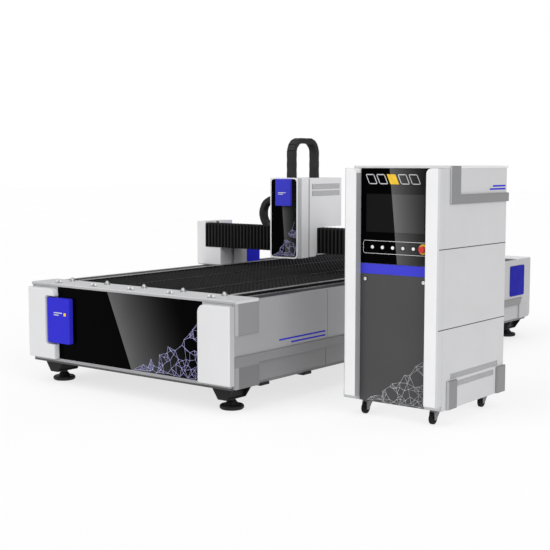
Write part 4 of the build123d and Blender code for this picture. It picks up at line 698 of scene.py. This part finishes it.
class CUTTER_OT_loop_chain(bpy.types.Operator):
    """Upright cable chain that arches over the carriage"""

    bl_idname = "cutter.loop_chain"
    bl_label = "Loop Chain"

    def execute(self, context):
        low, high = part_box("loop_chain")
        reach, corner = 0.170, 0.112
        mid = middle("loop_chain")
        foot, top = low.z, high.z - corner - CHAIN_HEIGHT / 2
        leg, bend = top - foot, corner * math.pi / 2
        half = leg + bend + reach - corner
        # an odd number puts one link flat on the crown
        count = round(2 * half / settings().fittings.link_pitch) // 2 * 2 + 1
        # a link runs along X when made, so it is stood up before it is turned round the arch
        stand = Matrix.Rotation(math.radians(90), 4, "Z") @ Matrix.Rotation(math.radians(-90), 4, "Y")
        bm = bmesh.new()
        for number in range(count):
            travel = (number + 0.5) * 2 * half / count
            side = -1 if travel < half else 1
            along = min(travel, 2 * half - travel)
            if along < leg:
                out, rise, turn = reach, foot + along, 0.0
            elif along < leg + bend:
                turn = (along - leg) / corner
                out, rise = reach - corner + corner * math.cos(turn), top + corner * math.sin(turn)
            else:
                out, rise, turn = half - along, top + corner, math.pi / 2
            place = Matrix.Translation((mid.x, mid.y + side * out, rise))
            place = place @ Matrix.Rotation(-turn if side < 0 else turn - math.pi, 4, "X") @ stand
            chain_link(bm, place, 1.0 - LINK_SLIM * (number % 2), LINK_OVERLAP * 2 * half / count)
        chain = piece("loop_chain_links", bm, "chain", "carriage", True)
        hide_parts("loop_chain")
        return {"FINISHED"}


class CUTTER_OT_cross_chain(bpy.types.Operator):
    """Flat cable chain: a bend and a low and a high run of links"""

    bl_idname = "cutter.cross_chain"
    bl_label = "Cross Chain"

    def execute(self, context):
        pitch = settings().fittings.link_pitch
        low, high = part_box("cross_chain")
        y = (low.y + high.y) / 2
        bend_x, anchor_x, end_x = -0.973, -0.661, high.x
        low_z, high_z = 1.201, 1.484
        radius = (high_z - low_z) / 2
        count = round(math.pi * radius / pitch)
        bm = bmesh.new()
        for number in range(count):
            turn = math.pi * (number + 0.5) / count
            spot = (bend_x - radius * math.sin(turn), y, low_z + radius - radius * math.cos(turn))
            place = Matrix.Translation(spot) @ Matrix.Rotation(turn, 4, "Y")
            chain_link(bm, place, 1.0 - LINK_SLIM * (number % 2), LINK_OVERLAP * pitch)
        bend = piece("cross_chain_bend", bm, "chain", smooth=True)
        self.follow(bend, bend_x, 0.5)
        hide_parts("cross_chain")
        runs = (("low", anchor_x, bend_x, low_z, 0.0, 0.5, 15), ("high", bend_x, end_x, high_z, 0.5, 1.0, 14))
        for name, start_x, stop_x, z, first, last, links in runs:
            for number in range(links):
                share = (number + 0.5) / links
                x = start_x + (stop_x - start_x) * share
                bm = bmesh.new()
                # slightly different sizes keep links from lying in one plane when the runs close up
                chain_link(bm, Matrix.Translation((x, y, z)), 1.0 - 0.006 * (number % 4), pitch * 0.97)
                link = piece(f"cross_chain_{name}_{number + 1:02d}", bm, "chain", smooth=True)
                self.follow(link, x, first + (last - first) * share)
        return {"FINISHED"}

    def follow(self, obj, x, share):
        """Bakes the piece's place into its mesh."""
        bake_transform(obj)


def louvres(name, body, finish, x, side, y_span, z_span):
    """Dark floor of a vent pocket and the upright bars in front of it."""
    (front, back), (foot, top) = y_span, z_span
    floor, face, gap = x - side * 0.0019, x - side * 0.0012, 0.0005
    bm = bmesh.new()
    bar(bm, (min(floor, face), front + gap, foot + gap), (max(floor, face), back - gap, top - gap))
    piece(f"{name}_floor", bm, "vent", body)
    bm = bmesh.new()
    count = int((back - front) / settings().fittings.louvre_pitch)
    step = (back - front) / count
    half, end_gap = step * 0.28, 0.0006
    for number in range(1, count):
        y = front + number * step
        bar(bm, (min(floor, x), y - half, foot + end_gap), (max(floor, x), y + half, top - end_gap))
    piece(f"{name}_bars", bm, finish, body)


class CUTTER_OT_vents(bpy.types.Operator):
    """Louvres in the vent pockets of the carriage housing and the cabinet"""

    bl_idname = "cutter.vents"
    bl_label = "Vents"

    def execute(self, context):
        housing = ((-0.364, 0.062), (1.584, 1.631)), ((-0.364, 0.062), (1.523, 1.570))
        cabinet = ((-1.690, -0.988), (0.321, 0.360)), ((-1.628, -1.050), (0.261, 0.300))
        for group, node, body, finish, pockets in (
                ("housing", "carriage_housing", "carriage", "white", housing),
                ("cabinet", "cabinet_shell", "base", "cabinet", cabinet)):
            low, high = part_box(node)
            for hand, side, x in (("left", -1, low.x), ("right", 1, high.x)):
                for number, spans in enumerate(pockets, start=1):
                    louvres(f"{group}_vent_{hand}_{number}", body, finish, x, side, *spans)
        return {"FINISHED"}


def flat_line(bm, first, last, y, width):
    """A printed line between two points of an upright panel that faces the front."""
    first, last = Vector(first), Vector(last)
    along = last - first
    angle = math.atan2(along.y, along.x)
    mid = (first + last) / 2
    place = Matrix.Translation((mid.x, y - PRINT_LIFT, mid.y)) @ Matrix.Rotation(-angle, 4, "Y")
    place = place @ Matrix.Diagonal((along.length, 2 * PRINT_LIFT, width, 1.0))
    bmesh.ops.create_cube(bm, size=1.0, matrix=place)


def bar_marks(bm, left, top, step, widths, y, stroke):
    """Plain printed bars under each other, flush on the left."""
    for number, width in enumerate(widths):
        z = top - number * step
        flat_line(bm, (left, z), (left + width, z), y, stroke)


def line_net(name, body, finish, y, x_span, foot, height, pitch, width, seed):
    """A generic net that climbs to the right: scattered points, each tied to its nearest neighbours."""
    left, right = x_span
    density, least_gap, longest_tie = 1.6, 0.42 * pitch, 2.0 * pitch
    chance = random.Random(seed)
    spots = []
    for _ in range(int(density * (right - left) * height / pitch ** 2)):
        share, lift = chance.random() ** 0.55, chance.random() ** 1.9
        spot = Vector((left + (right - left) * share, foot + height * lift * share ** 1.2))
        if all((spot - other).length > least_gap for other in spots):
            spots.append(spot)
    ties = set()
    for index, spot in enumerate(spots):
        near = sorted(range(len(spots)), key=lambda other: (spots[other] - spot).length)
        for other in near[1:5]:
            if (spots[other] - spot).length < longest_tie:
                ties.add((min(index, other), max(index, other)))
    bm = bmesh.new()
    for first, last in sorted(ties):
        flat_line(bm, spots[first], spots[last], y, width)
    for spot in spots:
        rod(bm, (spot.x, y - PRINT_LIFT, spot.y), FRONT, width * chance.uniform(1.0, 2.2), 0.001, 8)
    piece(name, bm, finish, body)


def slanted_block(bm, left, right, foot, top, lean, y):
    """A printed block with leaning sides on an upright panel that faces the front."""
    sheared = Matrix(((right - left, 0.0, -2 * lean, (left + right) / 2),
                      (0.0, 2 * PRINT_LIFT, 0.0, y - PRINT_LIFT),
                      (0.0, 0.0, top - foot, (foot + top) / 2), (0.0, 0.0, 0.0, 1.0)))
    bmesh.ops.create_cube(bm, size=1.0, matrix=sheared)


class CUTTER_OT_prints(bpy.types.Operator):
    """Line nets, button frame and plain colour marks on panels and badges"""

    bl_idname = "cutter.prints"
    bl_label = "Prints"

    def execute(self, context):
        seed = settings().fittings.net_seed
        panel, door, head = (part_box(node)[0].y for node in ("front_panel", "cabinet_door", "head_panel"))
        line_net("bed_panel_net", "base", "line", panel, (-0.60, 0.115), 0.222, 0.46, 0.062, 0.0019, seed)
        line_net("door_net", "base", "line_grey", door, (1.16, 1.692), 0.122, 0.38, 0.050, 0.0015, seed + 1)
        line_net("head_panel_net", "carriage", "line", head, (-0.655, -0.390), 0.990, 0.34, 0.036, 0.0016,
                 seed + 2)
        self.button_frame(door)
        self.marks()
        return {"FINISHED"}

    def button_frame(self, y):
        left, right, foot, top, cut, stroke = 1.161, 1.693, 1.183, 1.273, 0.010, 0.0026
        outline = [(left + cut, foot), (right - cut, foot), (right, foot + cut), (right, top - cut),
                   (right - cut, top), (left + cut, top), (left, top - cut), (left, foot + cut)]
        bm = bmesh.new()
        for first, last in zip(outline, outline[1:] + outline[:1]):
            flat_line(bm, first, last, y, stroke)
        piece("button_frame", bm, "button", "base")

    def marks(self):
        """Plain bars and blocks on the control panel, the badges and the long sides."""
        pale, warm, blue, head = (bmesh.new() for _ in range(4))
        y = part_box("control_panel")[0].y
        foot, top, width, stroke, lean = 1.672, 1.742, 0.070, 0.006, 0.016
        for number in range(5):
            x = 1.190 + number * 0.088
            if number == 2:
                slanted_block(warm, x, x + width, foot, top, lean, y)
                continue
            for left in (x, x + width - stroke):
                slanted_block(pale, left, left + stroke, foot, top, lean, y)
            for shift, low in ((0.0146, foot), (-0.0146, top - stroke)):
                slanted_block(pale, x + shift, x + width + shift, low, low + stroke, 0.0014, y)
        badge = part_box("bed_badges")[0].y
        bar_marks(pale, -1.465, 0.600, 0.018, (0.10, 0.06), badge, 0.008)
        flat_line(warm, (-1.345, 0.591), (-1.319, 0.591), badge, 0.026)
        piece("plain_marks_pale", pale, "line_grey", "base")
        piece("plain_marks_warm", warm, "yellow", "base")
        bar_marks(head, -0.565, 1.556, 0.013, (0.085, 0.052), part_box("head_badge")[0].y, 0.006)
        piece("head_badge_marks", head, "button", "carriage")
        for node, bars in (("side_panels", ((-1.870, 0.482, 0.60), (-1.720, 0.450, 0.45))),
                           ("cabinet_shell", ((-1.110, 1.648, 0.20), (-1.160, 1.626, 0.25)))):
            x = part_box(node)[1].x
            for y, z, length in bars:
                bar(blue, (x, y, z), (x + 2 * PRINT_LIFT, y + length, z + 0.012))
        piece("plain_marks_blue", blue, "blue", "base")


class CUTTER_OT_controls(bpy.types.Operator):
    """Bezels of the buttons and locks, and the collar of the stop button"""

    bl_idname = "cutter.controls"
    bl_label = "Controls"

    def execute(self, context):
        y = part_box("control_panel")[0].y
        bezels = bmesh.new()
        for number in range(1, 6):
            spot = middle(f"button_{number}")
            ring(bezels, (spot.x, y, spot.z), 0.0125, 0.0165, 0.002)
        for hand, x in (("left", 1.180), ("right", 1.658)):
            ring(bezels, (x, y, middle(f"door_lock_{hand}").z), 0.0135, 0.0175, 0.002)
        piece("button_bezels", bezels, "black", "base", True)
        stop = middle("emergency_stop")
        collar = bmesh.new()
        ring(collar, (stop.x, y, stop.z), 0.0125, 0.036, 0.004)
        piece("stop_collar", collar, "yellow", "base", True)
        return {"FINISHED"}


class CUTTER_OT_keyboard(bpy.types.Operator):
    """Keyboard that lies in the drawer"""

    bl_idname = "cutter.keyboard"
    bl_label = "Keyboard"

    def execute(self, context):
        low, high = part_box("keyboard_drawer")
        x, y, z = (low.x + high.x) / 2, low.y + 0.030, low.z + 0.0133
        half, depth, thick = 0.215, 0.145, 0.012
        key, pitch, rise = 0.0226, 0.0258, 0.006
        bm = bmesh.new()
        bar(bm, (x - half, y, z), (x + half, y + depth, z + thick), 0.004)
        piece("keyboard_body", bm, "dark", "keyboard_drawer")
        bm = bmesh.new()
        for row in range(5):
            for column in range(16):
                left, front = x - 0.206 + column * pitch, y + 0.010 + row * pitch
                bar(bm, (left, front, z + thick), (left + key, front + key, z + thick + rise), 0.002, 1)
        piece("keyboard_keys", bm, "chain", "keyboard_drawer")
        return {"FINISHED"}


class CUTTER_OT_fittings(bpy.types.Operator):
    """Sheet stops on the front cap, feet of the cabinet covers, foot nuts, frame webs and lugs"""

    bl_idname = "cutter.fittings"
    bl_label = "Small Fittings"

    def execute(self, context):
        self.sheet_stops()
        low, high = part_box("cabinet_covers")
        width, shy = 0.104, 0.0006
        bm = bmesh.new()
        for left in (low.x, high.x - width):
            bar(bm, (left + shy, low.y + shy, low.z - 0.021), (left + width - shy, high.y, low.z + 0.050),
                0.012, 3)
        piece("cover_feet", bm, "cover_foot", "base", True)
        nut_z, nut_radius, nut_height, frame_z = 0.071, 0.030, 0.016, 0.187
        nuts, webs = bmesh.new(), bmesh.new()
        for x in FOOT_XS:
            for y in FOOT_YS:
                rod(nuts, (x, y, nut_z), UP, nut_radius, nut_height, 6, bevel=0.002)
                bar(webs, (x - 0.034, y - 0.098, 0.089), (x + 0.034, y + 0.098, frame_z), 0.003)
            for y in LUG_YS:
                bar(webs, (x - 0.060, y - 0.054, 0.166), (x + 0.160, y + 0.054, frame_z), 0.003)
        piece("foot_nuts", nuts, "black", "base")
        piece("frame_webs_and_lugs", webs, "black", "base")
        return {"FINISHED"}

    def sheet_stops(self):
        cap_low, cap_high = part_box("front_end_cap")
        ball_low, ball_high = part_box("ball_units")
        ball_radius, count = 0.024, 5
        peg_radius, peg_height, peg_gap = 0.0065, 0.018, 0.020
        run = ball_high.x - ball_low.x - 2 * ball_radius
        y, z = cap_low.y + 0.055, cap_high.z
        plates, pegs = bmesh.new(), bmesh.new()
        for number in range(count):
            x = ball_low.x + ball_radius + run * number / (count - 1)
            bar(plates, (x - 0.030, y - 0.014, z), (x + 0.030, y + 0.014, z + 0.003), 0.001, 1)
            for shift, bm in ((-peg_gap, pegs), (0.0, plates), (peg_gap, pegs)):
                rod(bm, (x + shift, y, z + 0.012), UP, peg_radius, peg_height, 16, bevel=0.0015)
        piece("sheet_stops", plates, "stud", "base", True)
        piece("sheet_stop_pegs", pegs, "rim", "base", True)


class CUTTER_OT_castor_cheeks(bpy.types.Operator):
    """Broad side plates of the castor forks, which swivel with them"""

    bl_idname = "cutter.castor_cheeks"
    bl_label = "Castor Cheeks"

    def execute(self, context):
        # outline of one plate: distance behind the kingpin, height above the floor
        outline = ((0.040, 0.106), (0.040, 0.099), (-0.013, 0.037), (-0.023, 0.029), (-0.038, 0.029),
                   (-0.044, 0.040), (-0.042, 0.084), (-0.026, 0.106))
        inner, thick = 0.0202, 0.0030
        for end in CASTORS:
            low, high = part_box(f"castor_fork_{end}")
            pin_x = (low.x + high.x) / 2
            pin_y = high.y - (high.x - low.x) / 2
            bm = bmesh.new()
            for start in (pin_x - inner - thick, pin_x + inner):
                face = bm.faces.new([bm.verts.new((start, pin_y + back, z)) for back, z in outline])
                moved = bmesh.ops.extrude_face_region(bm, geom=[face], use_keep_orig=True)["geom"]
                bmesh.ops.translate(bm, vec=(thick, 0, 0), verts=verts_of(moved))
            piece(f"castor_cheeks_{end}", bm, "fork", f"castor_fork_{end}")
        return {"FINISHED"}


class CUTTER_OT_head_trim(bpy.types.Operator):
    """Pale rim round the head panel and dark seals between the head cover and the housing"""

    bl_idname = "cutter.head_trim"
    bl_label = "Head Trim"

    def execute(self, context):
        low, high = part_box("head_panel")
        cover_low, cover_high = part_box("head_cover")
        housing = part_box("carriage_housing")[0].y
        edge, lap, depth, corner = 0.009, 0.003, 0.007, 0.042
        size = Vector((high.x - low.x + 2 * edge, high.z - low.z + 2 * edge))
        centre = Vector(((low.x + high.x) / 2, cover_low.y - depth, (low.z + high.z) / 2))
        upright = Matrix.Translation(centre) @ Matrix.Rotation(math.radians(90), 4, "X")
        bm = bmesh.new()
        outline = bmesh.ops.create_grid(bm, x_segments=1, y_segments=1, size=0.5,
                                        matrix=upright @ Matrix.Diagonal((*size, 1.0, 1.0)))
        rounded(bm, outline["verts"], corner, 8, "VERTICES")
        inside = bm.faces[:]
        bmesh.ops.inset_region(bm, faces=inside, thickness=edge + lap, use_boundary=True,
                               use_even_offset=True)
        bmesh.ops.delete(bm, geom=inside, context="FACES_ONLY")
        bmesh.ops.recalc_face_normals(bm, faces=bm.faces)
        bmesh.ops.solidify(bm, geom=bm.faces[:], thickness=depth)
        near = min(vert.co.y for vert in bm.verts)
        bmesh.ops.translate(bm, verts=bm.verts, vec=(0, cover_low.y - depth - near, 0))
        piece("head_panel_rim", bm, "rim", "carriage", True)
        bm = bmesh.new()
        for x in (cover_low.x + 0.004, cover_high.x - 0.010):
            bar(bm, (x, cover_high.y + 0.0005, cover_low.z + 0.003),
                (x + 0.006, housing - 0.0005, cover_high.z - 0.006), 0.001, 1)
        piece("head_side_seals", bm, "chain", "carriage")
        return {"FINISHED"}


class CUTTER_OT_stage(bpy.types.Operator):
    """Pale floor, soft studio light and the camera"""

    bl_idname = "cutter.stage"
    bl_label = "Stage"

    def execute(self, context):
        scene = context.scene
        self.floor(scene)
        scene.world = self.sky()
        suns = (("front_light", (-0.35, -0.78, 0.52), 1.00, 50), ("top_light", (0.05, -0.12, 1.0), 0.70, 60),
                ("side_light", (0.88, -0.30, 0.36), 1.30, 50))
        for name, source, strength, softness in suns:
            light = bpy.data.lights.new(name, "SUN")
            light.energy = strength
            light.angle = math.radians(softness)
            lamp = bpy.data.objects.new(name, light)
            lamp.rotation_euler = Vector(source).to_track_quat("Z", "Y").to_euler()
            scene.collection.objects.link(lamp)
        lens = bpy.data.cameras.new("photo_camera")
        lens.lens = 73.5
        lens.sensor_width = 36.0
        lens.shift_x = 0.0027
        lens.clip_end = 200.0
        camera = bpy.data.objects.new("photo_camera", lens)
        camera.location = (5.586, -8.504, 1.823)
        camera.rotation_euler = (math.radians(90 - 5.72), 0.0, math.radians(38.10))
        scene.collection.objects.link(camera)
        scene.camera = camera
        scene.view_settings.view_transform = "Standard"
        return {"FINISHED"}

    def floor(self, scene):
        bm = bmesh.new()
        bmesh.ops.create_grid(bm, x_segments=1, y_segments=1, size=60.0,
                              matrix=Matrix.Translation((0, 0, -0.0005)))
        mesh = bpy.data.meshes.new("studio_floor")
        bm.to_mesh(mesh)
        bm.free()
        floor = bpy.data.objects.new("studio_floor", mesh)
        scene.collection.objects.link(floor)
        material, tree, shader, place = start_finish("studio_floor", 0.9, specular=0.0)
        shade = tint(tree, mottle(tree, place, 0.4), tone(0.27, 0.0), tone(0.28, 0.0))
        tree.links.new(shade, shader.inputs["Base Color"])
        fill(shader, {"Emission Color": (1, 1, 1, 1), "Emission Strength": 0.72})
        mesh.materials.append(material)

    def sky(self):
        """White behind the machine, and a weaker white light on it."""
        world = bpy.data.worlds.new("studio")
        world.use_nodes = True
        tree = world.node_tree
        rays = tree.nodes.new("ShaderNodeLightPath")
        mix = tree.nodes.new("ShaderNodeMixShader")
        lit, seen = tree.nodes["Background"], tree.nodes.new("ShaderNodeBackground")
        for number, node, strength in ((1, lit, 0.45), (2, seen, 1.0)):
            fill(node, {"Color": (1, 1, 1, 1), "Strength": strength})
            tree.links.new(node.outputs["Background"], mix.inputs[number])
        tree.links.new(rays.outputs["Is Camera Ray"], mix.inputs["Fac"])
        tree.links.new(mix.outputs["Shader"], tree.nodes["World Output"].inputs["Surface"])
        return world


class CUTTER_PT_panel(bpy.types.Panel):
    """Lists the steps that dress the machine"""

    bl_idname = "CUTTER_PT_panel"
    bl_label = "Sheet Cutter"
    bl_space_type = "VIEW_3D"
    bl_region_type = "UI"
    bl_category = "Cutter"

    def draw(self, context):
        layout = self.layout
        for operator in OPERATORS:
            layout.operator(operator.bl_idname)
        for group in (context.scene.cutter.colours, context.scene.cutter.fittings):
            for name in group.__annotations__:
                layout.prop(group, name)


OPERATORS = (CUTTER_OT_finishes, CUTTER_OT_slats, CUTTER_OT_bellows, CUTTER_OT_loop_chain,
             CUTTER_OT_cross_chain, CUTTER_OT_vents, CUTTER_OT_prints, CUTTER_OT_controls,
             CUTTER_OT_keyboard, CUTTER_OT_fittings, CUTTER_OT_castor_cheeks, CUTTER_OT_head_trim,
             CUTTER_OT_stage)
CLASSES = (CutterColours, CutterFittings, CutterSettings, *OPERATORS, CUTTER_PT_panel)


def register():
    for cls in CLASSES:
        bpy.utils.register_class(cls)
    bpy.types.Scene.cutter = bpy.props.PointerProperty(type=CutterSettings)


def unregister():
    del bpy.types.Scene.cutter
    for cls in reversed(CLASSES):
        bpy.utils.unregister_class(cls)


def main():
    register()
    for operator in OPERATORS:
        group, name = operator.bl_idname.split(".")
        getattr(getattr(bpy.ops, group), name)()


if __name__ == "__main__":
    main()
